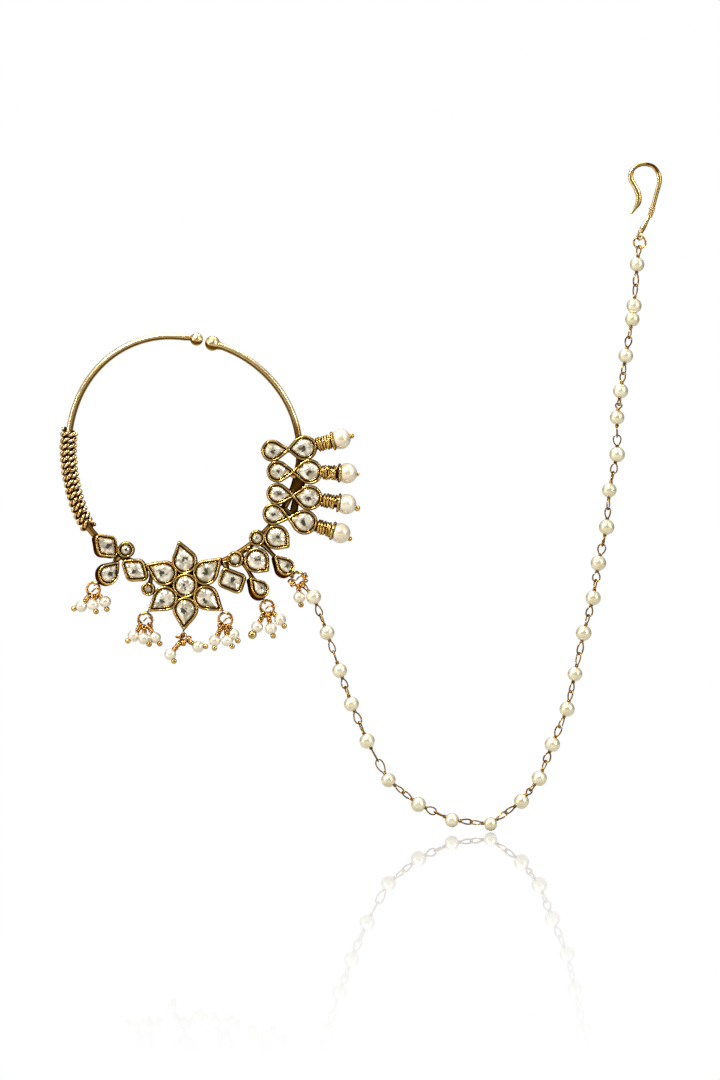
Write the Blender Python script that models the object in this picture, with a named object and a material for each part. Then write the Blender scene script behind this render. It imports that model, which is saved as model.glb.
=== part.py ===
"""Bridal nath: a wire hoop with foil-backed stones in soldered settings, stiff pearl drops, pearl
clusters on jump rings, and a pearl chain that ends in a hair hook.

Metres, +Z up. The hoop lies in the XZ plane and its face looks along -Y. The origin is the middle of
the gap between the hoop's two end balls, which is where the ring is worn."""

import math

import bmesh
import bpy
from mathutils import Matrix, Vector

MM = 0.001
PEARL_SIDES = 10
WIRE_SIDES = 5
RING_STEPS = 10

# Hoop, bent by hand: out of round by a two-lobed and a three-lobed share of its radius, with its two
# ends sprung in and a bulge under the winding, which both die away over a spread of degrees.
HOOP_DIAMETER = 53.8 * MM
HOOP_WIRE = 1.5 * MM
HOOP_GAP = 0.6 * MM
HOOP_SIDES = 8
HOOP_STEPS = 48
LEFT_BALL = 2.8 * MM
RIGHT_BALL = 3.2 * MM
OVAL = 0.010
OVAL_AT = -81.0
TRIANGLE = 0.0205
TRIANGLE_AT = 5.0
GAP_ANGLE = 78.7
ENDS_IN = 0.4 * MM
ENDS_SPREAD = 18.0
BULGE = 0.6 * MM
BULGE_AT = 217.0
BULGE_SPREAD = 14.0
FLOWER_ANGLE = -88.2

# Settings: a collet is a block of metal with a pocket, and the stone sits in it with a clearance.
SETTING_DEPTH = 2.4 * MM
POCKET_DEPTH = 1.3 * MM
RIM = 0.72 * MM
FLARE = 0.26 * MM
STONE_CLEARANCE = 0.22 * MM
STONE_RISE = 0.35 * MM
CROWN_HEIGHT = 0.5 * MM
TABLE_SHARE = 0.5
SOLDER_LAP = 0.3 * MM
OUTLINE_POINTS = 10
MAIN_STONE = 4.05 * MM
SIDE_STONE = 3.3 * MM
LEAF_STONE = 2.6 * MM
SMALL_STONE = 2.1 * MM
TINY_STONE = 1.5 * MM
LOZENGE_LENGTH = 5.6 * MM
LOZENGE_WIDTH = 4.2 * MM
CUSHION_LENGTH = 5.3 * MM
CUSHION_WIDTH = 5.1 * MM
CORNER_SHARE = 0.13
PLATE_THICKNESS = 0.5 * MM
BAR_WIDTH = 1.0 * MM
BAR_THICKNESS = 0.7 * MM
STRAP_WIDTH = 3.0 * MM
STRAP_OUT = 0.8 * MM

# Eyes on the settings, jump rings and the wires that hang from them.
EYE_RADIUS = 0.68 * MM
EYE_WIRE = 0.36 * MM
JUMP_RING_RADIUS = 1.6 * MM
JUMP_RING_WIRE = 0.42 * MM
HEADPIN_WIRE = 0.36 * MM
CLUSTER_PEARL = 2.75 * MM
CLUSTER_BALL = 1.3 * MM
CLUSTER_REACH = 4.4 * MM
BALL_REACH = 1.75 * MM

# Stiff drops beside the four rows.
COLLAR_LENGTH = 3.85 * MM
COLLAR_DIAMETER = 3.7 * MM
DROP_PIN = 0.6 * MM
DROP_PEARL = 4.7 * MM
DROP_BALL = 1.3 * MM
DROP_CLEARANCE = 0.15 * MM

# Twisted wire wound round the hoop.
ROPE = 1.22 * MM
ROPE_CLEARANCE = 0.15 * MM
WINDING_START = 168.2
WINDING_END = 220.4
WINDING_TURNS = 17
STEPS_PER_TURN = 9

# Chain and hook.
CHAIN_PEARL = 3.3 * MM
CHAIN_WIRE = 0.34 * MM
LOOP_WIDTH = 1.5 * MM
LOOP_STEPS = 10
LOOP_LAP = 0.35 * MM
LINK_CLEARANCE = 0.14 * MM
LOOP_TWIST = 35.0
HOOK_RING_RADIUS = 1.35 * MM
HOOK_RING_WIRE = 0.5 * MM
HOOK_EYE_RADIUS = 0.75 * MM
HOOK_EYE_WIRE = 0.5 * MM
HOOK_HEIGHT = 16.7 * MM
HOOK_WIRE = 1.05 * MM

GOLD = (0.62, 0.43, 0.19)
DARK_GOLD = (0.45, 0.30, 0.12)
COPPER_GOLD = (0.72, 0.42, 0.14)
GLASS_WHITE = (0.80, 0.80, 0.78)
IVORY = (0.90, 0.86, 0.72)
PALE_PEARL = (0.88, 0.86, 0.82)

# Main settings along the hoop. along and out are shares of the pitch of a main setting, counted
# from the flower's centre and from the hoop's wire. point is the heading of a stone's point from
# the outward line, and a setting with a lean tips its face that many degrees towards a heading.
SETTINGS = (
    # name, cut, along, out, point, lean, towards
    ("round_stone_upper", "broad tear", 3.99, 0.49, 2, 0, 0),
    ("round_stone_lower", "broad tear", 2.84, 0.67, 12, 0, 0),
    ("small_stone_upper", "small round", 3.40, -0.04, 0, 0, 0),
    ("small_stone_lower", "small round", 2.15, 0.15, 0, 0, 0),
    ("leaf_stone_upper", "leaf", 3.43, 1.65, -176, 24, 45),
    ("leaf_stone_lower", "leaf", 2.37, 1.78, -168, 24, 45),
    ("cushion_stone", "cushion", 1.69, 0.89, 12, 0, 0),
    ("lozenge_stone_outer", "lozenge", -3.50, 0.03, 86, 22, 10),
    ("lozenge_stone_inner", "lozenge", -1.99, 0.26, 76, 0, 0),
    ("side_stone", "side tear", -2.84, 0.97, 170, 22, 10),
    ("small_stone_left", "small round", -2.69, -0.34, 0, 0, 0),
    ("tiny_stone_left", "tiny round", -1.32, 0.86, 0, 0, 0),
)

# The flower: where each petal stands round the centre, and how far its point leans from there.
PETALS = (
    # heading, lean
    (92, 14),
    (32, 11),
    (-31, -7),
    (-90, -5),
    (-147, 4),
    (150, 5),
)
FLOWER_OUT = 0.59

# The four rows: where each crosses the hoop, and the row's heading from the outward line.
ROWS = (
    # along, out, turn, turn of the drop
    (7.70, -0.47, 3, 9),
    (6.73, -0.17, 9, -2),
    (5.75, 0.13, 14, -3),
    (4.87, 0.41, 17, -3),
)

# How far each cut's point stands from the middle of its round end, as a share of the radius.
POINT_REACH = {
    "petal": 1.75,
    "outer tear": 1.48,
    "inner tear": 1.68,
    "broad tear": 1.32,
    "side tear": 1.68,
    "leaf": 1.8,
}

# The eyes: the setting that carries each, the eye's heading from the setting's middle, the
# heading of the ring below it, and for each headpin its swing from straight down, its reach as a
# share of the cluster's, the swing of its gold ball, and its place in front as a share of a pearl.
CLUSTERS = (
    ("side_stone", 220, -117, ((-36, 1.09, -72, 0.0), (-1, 0.79, 24, 0.25), (44, 0.89, 12, 0.0))),
    ("petal_stone_5", -143, -96, ((-36, 1.03, -49, 0.0), (-3, 0.97, 42, 0.3), (29, 1.06, 38, 0.0))),
    ("petal_stone_4", -95, -86, ((-44, 1.02, 29, 0.0), (66, 0.81, 92, 0.0))),
    ("petal_stone_3", -38, -88, ((-27, 1.23, -2, 0.0), (5, 1.10, 41, 0.2), (28, 0.89, 35, -0.2))),
    ("leaf_stone_lower", -66, -63, ((-27, 1.15, -31, 0.0), (10, 1.13, 18, 0.2), (46, 0.94, 34, 0.0))),
    ("leaf_stone_upper", -22, -70, ((4, 0.97, 13, 0.0),)),
)

# The chain's route: the middle of each pearl, across and up from the last cluster's ring, in mm.
CHAIN_ROUTE = (
    (3.6, -4.2), (6.7, -12.4), (9.6, -21.1), (12.3, -28.8), (15.9, -37.3), (20.8, -46.3), (27.7, -51.9),
    (35.4, -55.5), (44.3, -56.4), (51.4, -51.2), (55.5, -45.9), (58.5, -38.1), (61.9, -30.0),
    (63.7, -21.9), (65.7, -12.5), (67.9, -4.4), (69.1, 3.6), (71.0, 11.9), (71.6, 20.4), (73.4, 28.6),
    (73.4, 37.1), (74.2, 43.2), (75.4, 51.3), (76.9, 59.7), (77.3, 62.8), (78.0, 72.3),
)
HOOP_SIDE_PEARLS = 8

# The ring at the hook stands this far from the last pearl, across and up.
HOOK_RING_STEP = (0.6 * MM, 5.1 * MM)

# The hook from its eye to its tip: across and up as shares of its height, and its thickness as a
# share of its wire.
HOOK = (
    # across, up, thickness
    (0.035, 0.100, 1.00),
    (0.080, 0.185, 1.10),
    (0.130, 0.275, 1.15),
    (0.180, 0.400, 1.00),
    (0.237, 0.600, 0.97),
    (0.278, 0.760, 1.05),
    (0.262, 0.870, 1.05),
    (0.187, 0.970, 0.95),
    (0.070, 1.000, 0.85),
    (-0.030, 0.980, 0.92),
    (-0.108, 0.915, 1.05),
    (-0.125, 0.800, 1.15),
    (-0.072, 0.700, 1.20),
    (-0.020, 0.590, 1.25),
    (-0.020, 0.470, 1.25),
    (-0.070, 0.385, 0.75),
    (-0.122, 0.315, 0.35),
)

PITCH = MAIN_STONE + 2 * RIM
SETTING_BACK = HOOP_WIRE / 2 - SOLDER_LAP
HANG_DEPTH = Vector((0, -SETTING_BACK - SETTING_DEPTH / 2, 0))
TOWARDS_VIEWER = Vector((0, -1, 0))
UP = Vector((0, 0, 1))


def heading(degrees):
    """Unit vector in the hoop's plane, counted from +X towards +Z."""
    angle = math.radians(degrees)
    return Vector((math.cos(angle), 0, math.sin(angle)))


def fading(degrees, middle, spread):
    """One at a middle heading, and down to nothing a few spreads away from it."""
    away = (degrees - middle + 180) % 360 - 180
    return math.exp(-((away / spread) ** 2))


def hoop_radius(degrees):
    """Radius of the hoop's centre line at a heading."""
    oval = OVAL * math.cos(2 * math.radians(degrees - OVAL_AT))
    triangle = TRIANGLE * math.cos(3 * math.radians(degrees - TRIANGLE_AT))
    sprung_in = ENDS_IN * fading(degrees, GAP_ANGLE, ENDS_SPREAD)
    bulge = BULGE * fading(degrees, BULGE_AT, BULGE_SPREAD)
    return HOOP_DIAMETER / 2 * (1 + oval + triangle) - sprung_in + bulge


HOOP_CENTRE = -heading(GAP_ANGLE) * hoop_radius(GAP_ANGLE)


def hoop_point(degrees, out=0.0):
    return HOOP_CENTRE + heading(degrees) * (hoop_radius(degrees) + out)


def turned_by(length):
    """Degrees that a length along the hoop turns round its centre."""
    return math.degrees(length / (HOOP_DIAMETER / 2))


def clear_scene():
    for obj in list(bpy.data.objects):
        bpy.data.objects.remove(obj, do_unlink=True)


def material(name, colour, roughness, metallic):
    made = bpy.data.materials.new(name)
    made.use_nodes = True
    shader = made.node_tree.nodes["Principled BSDF"]
    shader.inputs["Base Color"].default_value = (*colour, 1)
    shader.inputs["Roughness"].default_value = roughness
    shader.inputs["Metallic"].default_value = metallic
    return made


def finished(name, mesh, finish):
    """Object in the scene from a bmesh, with its faces turned out and round faces shaded smooth."""
    bmesh.ops.recalc_face_normals(mesh, faces=mesh.faces)
    data = bpy.data.meshes.new(name)
    mesh.to_mesh(data)
    mesh.free()
    data.materials.append(finish)
    data.shade_smooth()
    data.set_sharp_from_angle(angle=math.radians(35))
    obj = bpy.data.objects.new(name, data)
    bpy.context.scene.collection.objects.link(obj)
    return obj


def helper(obj, group):
    """Moves an object that only a Boolean reads into a group, out of the model itself."""
    obj.hide_render = True
    obj.display_type = "WIRE"
    bpy.context.scene.collection.objects.unlink(obj)
    group.objects.link(obj)


def fused(name, meshes, finish, cutters=()):
    """One object from overlapping closed meshes, with the cutters' volumes taken out."""
    obj = finished(name, meshes[0], finish)
    for word, parts, operation in (("piece", meshes[1:], "UNION"), ("cut", cutters, "DIFFERENCE")):
        if not parts:
            continue
        group = bpy.data.collections.new(f"{name}_{word}s")
        bpy.context.scene.collection.children.link(group)
        for index, mesh in enumerate(parts):
            helper(finished(f"{name}_{word}_{index}", mesh, finish), group)
        modifier = obj.modifiers.new(word, "BOOLEAN")
        modifier.operation = operation
        modifier.operand_type = "COLLECTION"
        modifier.collection = group
        modifier.solver = "EXACT"
    return obj


def bridge_rings(mesh, rings, closed):
    """Quads between neighbouring rings of vertices, with both ends capped unless closed."""
    pairs = list(zip(rings, rings[1:]))
    if closed:
        pairs.append((rings[-1], rings[0]))
    for lower, upper in pairs:
        for index in range(len(lower)):
            after = (index + 1) % len(lower)
            mesh.faces.new((lower[index], lower[after], upper[after], upper[index]))
    if not closed:
        mesh.faces.new(rings[0])
        mesh.faces.new(rings[-1])


def wire(points, thicknesses, sides=WIRE_SIDES, across=TOWARDS_VIEWER, closed=False):
    """Wire along the points: a ring of sides round each, square to the path there."""
    mesh = bmesh.new()
    count = len(points)
    rings = []
    for index, (point, thickness) in enumerate(zip(points, thicknesses)):
        before = points[index - 1] if closed or index else points[0]
        after = points[(index + 1) % count] if closed or index + 1 < count else points[-1]
        along = (after - before).normalized()
        first = across[index] if isinstance(across, list) else across
        first = (first - along * first.dot(along)).normalized()
        second = along.cross(first)
        turns = [2 * math.pi * side / sides for side in range(sides)]
        ring = [point + (first * math.cos(a) + second * math.sin(a)) * thickness / 2 for a in turns]
        rings.append([mesh.verts.new(place) for place in ring])
    bridge_rings(mesh, rings, closed)
    return mesh


def ring(centre, radius, thickness, first, second, steps=RING_STEPS):
    """Closed ring of wire in the plane of two square directions."""
    turns = [2 * math.pi * step / steps for step in range(steps)]
    points = [centre + (first * math.cos(a) + second * math.sin(a)) * radius for a in turns]
    return wire(points, [thickness] * steps, across=first.cross(second), closed=True)


def ball(centre, diameter, rings=4, facing=0.0, mesh=None):
    """Ball with its poles to front and back, and the middle of a face towards a heading."""
    mesh = mesh or bmesh.new()
    made = bmesh.ops.create_uvsphere(mesh, u_segments=PEARL_SIDES, v_segments=rings, radius=diameter / 2)
    half_face = 180 / PEARL_SIDES
    turn = Matrix.Rotation(math.radians(half_face - facing), 4, "Y") @ Matrix.Rotation(math.pi / 2, 4, "X")
    bmesh.ops.transform(mesh, verts=made["verts"], matrix=Matrix.Translation(centre) @ turn)
    return mesh


def turned_piece(base, axis, stations, bored=False, sides=PEARL_SIDES):
    """Solid of revolution: each station is a distance along the axis and a radius there."""
    mesh = bmesh.new()
    first = TOWARDS_VIEWER
    second = axis.cross(first)
    rings = []
    for distance, radius in stations:
        middle = base + axis * distance
        turns = [2 * math.pi * side / sides for side in range(sides)]
        places = [middle + (first * math.cos(a) + second * math.sin(a)) * radius for a in turns]
        rings.append([mesh.verts.new(place) for place in places])
    bridge_rings(mesh, rings, bored)
    return mesh


def tear_outline(width, reach, count=OUTLINE_POINTS):
    """Round end and two straight sides that meet in a point on +X."""
    radius = width / 2
    touch = math.acos(1 / reach)
    sweep = 2 * (math.pi - touch) / (count - 2)
    turns = [touch + sweep * step for step in range(count - 1)]
    return [(radius * reach, 0.0)] + [(radius * math.cos(a), radius * math.sin(a)) for a in turns]


def round_outline(width, count=8):
    turns = [2 * math.pi * step / count for step in range(count)]
    return [(width / 2 * math.cos(a), width / 2 * math.sin(a)) for a in turns]


def lozenge_outline(length, width, skew=0.0):
    """Four-cornered stone with its long diagonal on X, and each corner cut off by a share."""
    lean = math.radians(90 - skew)
    corners = [Vector((length / 2, 0)), Vector((math.cos(lean), math.sin(lean))) * width / 2]
    corners += [-corners[0], -corners[1]]
    outline = []
    for index, corner in enumerate(corners):
        before = corners[index - 1]
        after = corners[(index + 1) % 4]
        for neighbour in (before, after):
            outline.append(tuple(corner.lerp(neighbour, CORNER_SHARE)))
    return outline


def grown(outline, distance):
    """Outline with each side moved out by a distance."""
    count = len(outline)
    points = [Vector(point) for point in outline]
    normals = []
    for index in range(count):
        side = (points[(index + 1) % count] - points[index]).normalized()
        normals.append(Vector((side.y, -side.x)))
    made = []
    for index, point in enumerate(points):
        before = normals[index - 1]
        after = normals[index]
        made.append(tuple(point + (before + after) * distance / (1 + before.dot(after))))
    return made


def scaled(outline, share):
    return [(x * share, y * share) for x, y in outline]


def loft(place, layers):
    """Solid through outlines of equal count, each at a height above the setting's back."""
    mesh = bmesh.new()
    rings = []
    for outline, height in layers:
        rings.append([mesh.verts.new(place @ Vector((x, y, height))) for x, y in outline])
    bridge_rings(mesh, rings, closed=False)
    return mesh


class Setting:
    """A stone and its collet: middle of the round part, heading of the point, and the outline."""

    def __init__(self, name, middle, point, outline, reach=1.0, lean=0.0, towards=0.0):
        self.name = name
        self.middle = middle
        self.point = point
        self.outline = outline
        self.reach = reach
        self.lean = lean
        self.towards = towards

    def place(self):
        """Local X along the point, local Z out of the face, from the setting's back."""
        sideways = heading(self.point + 90)
        axes = Matrix((heading(self.point), sideways, TOWARDS_VIEWER)).transposed()
        tip = Matrix.Rotation(math.radians(self.lean), 3, TOWARDS_VIEWER.cross(heading(self.towards)))
        middle = self.middle + TOWARDS_VIEWER * (SETTING_BACK + SETTING_DEPTH / 2)
        turned = (tip @ axes).to_4x4()
        return Matrix.Translation(middle) @ turned @ Matrix.Translation((0, 0, -SETTING_DEPTH / 2))

    def collet(self):
        """Block whose walls flare out towards its back."""
        back = grown(self.outline, RIM + FLARE)
        face = grown(self.outline, RIM)
        return loft(self.place(), ((back, 0.0), (face, SETTING_DEPTH)))

    def pocket(self):
        hole = grown(self.outline, STONE_CLEARANCE)
        past_face = SETTING_DEPTH + 2 * STONE_RISE
        return loft(self.place(), ((hole, SETTING_DEPTH - POCKET_DEPTH), (hole, past_face)))

    def stone(self):
        """Flat foiled back, a girdle, and a crown of facets up to the table."""
        table = SETTING_DEPTH + STONE_RISE
        girdle = table - CROWN_HEIGHT
        back = SETTING_DEPTH - POCKET_DEPTH + STONE_CLEARANCE
        face = scaled(self.outline, TABLE_SHARE)
        return loft(self.place(), ((self.outline, back), (self.outline, girdle), (face, table)))

    def edge(self, towards):
        """Point half way up the collet's outer wall at a heading from the middle."""
        outer = grown(self.outline, RIM + FLARE / 2)
        turn = math.radians(towards - self.point)
        reach = max(x * math.cos(turn) + y * math.sin(turn) for x, y in outer)
        return self.middle + heading(towards) * reach


def cut_outline(cut):
    """Stone outline and the reach of its point for each cut."""
    widths = {"petal": MAIN_STONE, "outer tear": MAIN_STONE, "broad tear": MAIN_STONE}
    widths |= {"inner tear": SIDE_STONE, "side tear": SIDE_STONE, "leaf": LEAF_STONE}
    if cut in widths:
        return tear_outline(widths[cut], POINT_REACH[cut])
    if cut == "lozenge":
        return lozenge_outline(LOZENGE_LENGTH, LOZENGE_WIDTH)
    if cut == "cushion":
        return lozenge_outline(CUSHION_LENGTH, CUSHION_WIDTH, skew=18)
    rounds = {"main round": MAIN_STONE, "small round": SMALL_STONE, "tiny round": TINY_STONE}
    return round_outline(rounds[cut])


def side_settings():
    made = []
    for name, cut, along, out, point, lean, towards in SETTINGS:
        at = FLOWER_ANGLE + turned_by(along * PITCH)
        middle = hoop_point(at, out * PITCH)
        made.append(Setting(name, middle, at + point, cut_outline(cut), lean=lean, towards=towards))
    return made


def flower_settings():
    """A round stone in the middle, and the petals set close round it."""
    middle = hoop_point(FLOWER_ANGLE, FLOWER_OUT * PITCH)
    made = [Setting("flower_stone", middle, 0, cut_outline("main round"))]
    for index, (at, lean) in enumerate(PETALS, start=1):
        petal = middle + heading(at) * PITCH
        made.append(Setting(f"petal_stone_{index}", petal, at + lean, cut_outline("petal")))
    return made


def row_settings():
    """Each row is two tears whose points meet where the row crosses the hoop."""
    made = []
    for index, (along, out, turn, _) in enumerate(ROWS, start=1):
        at = FLOWER_ANGLE + turned_by(along * PITCH)
        crossing = hoop_point(at, out * PITCH)
        for side, cut, width, point in (
            ("outer", "outer tear", MAIN_STONE, at + turn),
            ("inner", "inner tear", SIDE_STONE, at + turn + 180),
        ):
            reach = (width / 2 + RIM) * POINT_REACH[cut] - SOLDER_LAP
            middle = crossing + heading(point) * reach
            made.append(Setting(f"row_stone_{side}_{index}", middle, point + 180, cut_outline(cut)))
    return made


def hoop_meshes():
    """The wire from ball to ball, the long way round, and the two balls."""
    left = GAP_ANGLE + turned_by(HOOP_GAP / 2 + LEFT_BALL / 2)
    right = GAP_ANGLE - turned_by(HOOP_GAP / 2 + RIGHT_BALL / 2)
    angles = [left + (right + 360 - left) * step / HOOP_STEPS for step in range(HOOP_STEPS + 1)]
    points = [hoop_point(angle) for angle in angles]
    return [
        wire(points, [HOOP_WIRE] * len(points), sides=HOOP_SIDES),
        ball(points[0], LEFT_BALL, rings=5),
        ball(points[-1], RIGHT_BALL, rings=5),
    ]


def strip(points, width):
    """Flat strip behind the settings along points in the hoop's plane."""
    mesh = bmesh.new()
    rings = []
    for index, point in enumerate(points):
        along = points[min(index + 1, len(points) - 1)] - points[max(index - 1, 0)]
        sideways = along.normalized().cross(TOWARDS_VIEWER) * width / 2
        middle = point + TOWARDS_VIEWER * (SETTING_BACK + BAR_THICKNESS / 4)
        thick = TOWARDS_VIEWER * BAR_THICKNESS / 2
        corners = ((-1, -1), (1, -1), (1, 1), (-1, 1))
        rings.append([mesh.verts.new(middle + sideways * x + thick * y) for x, y in corners])
    bridge_rings(mesh, rings, closed=False)
    return mesh


def solder_bar(setting):
    """Strip from the hoop's wire square out to a setting's middle."""
    offset = setting.middle - HOOP_CENTRE
    at = math.degrees(math.atan2(offset.z, offset.x))
    return strip([hoop_point(at), setting.middle], BAR_WIDTH)


def row_strap():
    """Strip along the outside of the hoop, behind the crossings of the first three rows."""
    first, last = (FLOWER_ANGLE + turned_by(ROWS[row][0] * PITCH) for row in (0, 2))
    steps = 6
    turns = [first + (last - first) * step / steps for step in range(steps + 1)]
    return strip([hoop_point(turn, STRAP_OUT) for turn in turns], STRAP_WIDTH)


def flower_plate(middle):
    """Thin round plate behind the petals."""
    axis_place = Matrix.Translation(middle + TOWARDS_VIEWER * SETTING_BACK)
    axes = Matrix((heading(0), heading(90), TOWARDS_VIEWER)).transposed().to_4x4()
    outline = round_outline(2 * PITCH, count=16)
    back = -SOLDER_LAP / 3
    layers = ((outline, back), (outline, back + PLATE_THICKNESS))
    return loft(axis_place @ axes, layers)


class Hanging:
    """An eye on a setting and the jump ring through it."""

    def __init__(self, setting, eye_heading, ring_heading):
        out = heading(eye_heading)
        self.out = out
        self.eye = setting.edge(eye_heading) + out * (EYE_RADIUS - EYE_WIRE / 4) + HANG_DEPTH
        self.ring = self.eye + heading(ring_heading) * JUMP_RING_RADIUS


def make_frame(settings, hangings, gold):
    solids = hoop_meshes()
    solids += [setting.collet() for setting in settings]
    solids += [solder_bar(setting) for setting in settings if needs_bar(setting)]
    flower = next(setting for setting in settings if setting.name == "flower_stone")
    solids += [flower_plate(flower.middle), row_strap()]
    for hanging in hangings:
        solids.append(ring(hanging.eye, EYE_RADIUS, EYE_WIRE, hanging.out, TOWARDS_VIEWER))
    fused("frame", solids, gold, [setting.pocket() for setting in settings])


def needs_bar(setting):
    """Whether the hoop's wire passes clear of the setting."""
    offset = setting.middle - HOOP_CENTRE
    at = math.degrees(math.atan2(offset.z, offset.x))
    return abs(offset.length - hoop_radius(at)) > PITCH / 3


def make_winding(gold):
    """Helix of rope round the hoop's wire, packed turn against turn."""
    steps = WINDING_TURNS * STEPS_PER_TURN
    radius = HOOP_WIRE / 2 + ROPE_CLEARANCE + ROPE / 2
    points = []
    outward = []
    for step in range(steps + 1):
        at = WINDING_START + (WINDING_END - WINDING_START) * step / steps
        turn = 2 * math.pi * step / STEPS_PER_TURN
        out = heading(at) * math.cos(turn) - TOWARDS_VIEWER * math.sin(turn)
        points.append(hoop_point(at) + out * radius)
        outward.append(out)
    mesh = wire(points, [ROPE] * len(points), across=outward)
    return finished("rope_winding", mesh, gold)


def make_drops(settings, gold, cream):
    """Each drop is a wire with a wound collar, a pin and a ball end, and a pearl bored for the pin."""
    rows = {setting.name: setting for setting in settings}
    for index, (_, _, _, turn) in enumerate(ROWS, start=1):
        setting = rows[f"row_stone_outer_{index}"]
        point = setting.point + 180 + turn
        axis = heading(point)
        base = setting.edge(point) + axis * DROP_CLEARANCE + HANG_DEPTH
        collar = COLLAR_DIAMETER / 2
        pearl = DROP_PEARL / 2
        pin = DROP_PIN / 2
        # The collar's end is dished, so that the pearl sits in it with the clearance all round.
        rim_to_middle = math.sqrt((pearl + DROP_CLEARANCE) ** 2 - collar**2)
        middle = COLLAR_LENGTH + rim_to_middle
        floor = middle - pearl - DROP_CLEARANCE
        end = middle + pearl + DROP_CLEARANCE
        knob = DROP_BALL / 2
        stations = [(0, collar * 0.8), (collar * 0.2, collar), (COLLAR_LENGTH, collar)]
        stations += [(floor, pin), (end, pin)]
        ball_profile = ((0.3, 0.8), (1, 1), (1.7, 0.8), (2, 0.3))
        stations += [(end + knob * share, knob * size) for share, size in ball_profile]
        finished(f"drop_wire_{index}", turned_piece(base, axis, stations), gold)
        bore = pin + DROP_CLEARANCE
        skirt = math.asin(bore / pearl)
        turns = [skirt + (math.pi - 2 * skirt) * step / 5 for step in range(6)]
        profile = [(middle - pearl * math.cos(a), pearl * math.sin(a)) for a in turns]
        bead = turned_piece(base, axis, profile, bored=True)
        finished(f"drop_pearl_{index}", bead, cream)


def make_cluster(index, hanging, headpins, copper):
    """Jump ring with its headpins: each goes through a small pearl to a gold ball."""
    solids = [ring(hanging.ring, JUMP_RING_RADIUS, JUMP_RING_WIRE, heading(0), UP)]
    for swing, reach, ball_swing, forward in headpins:
        down = heading(swing - 90)
        start = hanging.ring + down * JUMP_RING_RADIUS
        step_forward = TOWARDS_VIEWER * forward * CLUSTER_PEARL
        pearl = hanging.ring + down * reach * CLUSTER_REACH + step_forward
        end = pearl + heading(ball_swing - 90) * BALL_REACH
        solids.append(wire([start, pearl, end], [HEADPIN_WIRE] * 3))
        solids.append(ball(end, CLUSTER_BALL, rings=3, mesh=ball(pearl, CLUSTER_PEARL, facing=swing - 90)))
    fused(f"pearl_cluster_{index}", solids, copper)


def link_loop(middle, towards, length, twist):
    """Oval loop of chain wire from just inside a pearl to a length from its skin."""
    skin = CHAIN_PEARL / 2
    near = skin - LOOP_LAP
    far = skin + length
    turn = math.radians(twist)
    flat = towards.cross(TOWARDS_VIEWER).normalized()
    side = flat * math.cos(turn) + TOWARDS_VIEWER * math.sin(turn)
    points = []
    for step in range(LOOP_STEPS):
        angle = 2 * math.pi * step / LOOP_STEPS
        along = near + (far - near) * (1 - math.cos(angle)) / 2
        points.append(middle + towards * along + side * LOOP_WIDTH / 2 * math.sin(angle))
    normal = towards.cross(side)
    return wire(points, [CHAIN_WIRE] * LOOP_STEPS, across=normal, closed=True)


def make_chain(last_ring, ivory):
    """Pearls on a wire, in two lengths whose end loops interlock clear of each other."""
    pearls = [last_ring + Vector((x * MM, 0, z * MM)) for x, z in CHAIN_ROUTE]
    hook_ring = pearls[-1] + Vector((HOOK_RING_STEP[0], 0, HOOK_RING_STEP[1]))
    join = HOOP_SIDE_PEARLS
    half_way = (pearls[join - 1] + pearls[join]) / 2
    half_lap = (CHAIN_WIRE + LINK_CLEARANCE) / 2
    hoop_catch = JUMP_RING_RADIUS - (JUMP_RING_WIRE + CHAIN_WIRE) / 2 - LINK_CLEARANCE
    hook_catch = HOOK_RING_RADIUS - (HOOK_RING_WIRE + CHAIN_WIRE) / 2 - LINK_CLEARANCE
    on_cluster = (last_ring, -hoop_catch, 90)
    on_hook = (hook_ring, -hook_catch, 90)
    lengths = (
        ("chain_hoop_side", pearls[:join], on_cluster, (half_way, half_lap, LOOP_TWIST)),
        ("chain_hook_side", pearls[join:], (half_way, half_lap, 90 - LOOP_TWIST), on_hook),
    )
    for name, members, start, end in lengths:
        solids = [wire(members, [CHAIN_WIRE] * len(members))]
        for index, pearl in enumerate(members):
            way = members[min(index + 1, len(members) - 1)] - members[max(index - 1, 0)]
            solids.append(ball(pearl, CHAIN_PEARL, facing=math.degrees(math.atan2(way.z, way.x))))
        for pearl, (target, past, twist) in ((members[0], start), (members[-1], end)):
            way = target - pearl
            length = way.length + past - CHAIN_PEARL / 2
            solids.append(link_loop(pearl, way.normalized(), length, twist))
        fused(name, solids, ivory)
    return hook_ring


def curve_through(stations, steps=2):
    """Smooth stations between the chosen ones, by a Catmull-Rom curve."""
    made = []
    last = len(stations) - 1
    for index in range(last):
        before = stations[max(index - 1, 0)]
        start = stations[index]
        end = stations[index + 1]
        after = stations[min(index + 2, last)]
        for step in range(steps):
            t = step / steps
            bend = (2 * before - 5 * start + 4 * end - after) * t**2
            bend += (3 * start - before - 3 * end + after) * t**3
            made.append(start + (end - before) * t / 2 + bend / 2)
    return made + [stations[last]]


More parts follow.
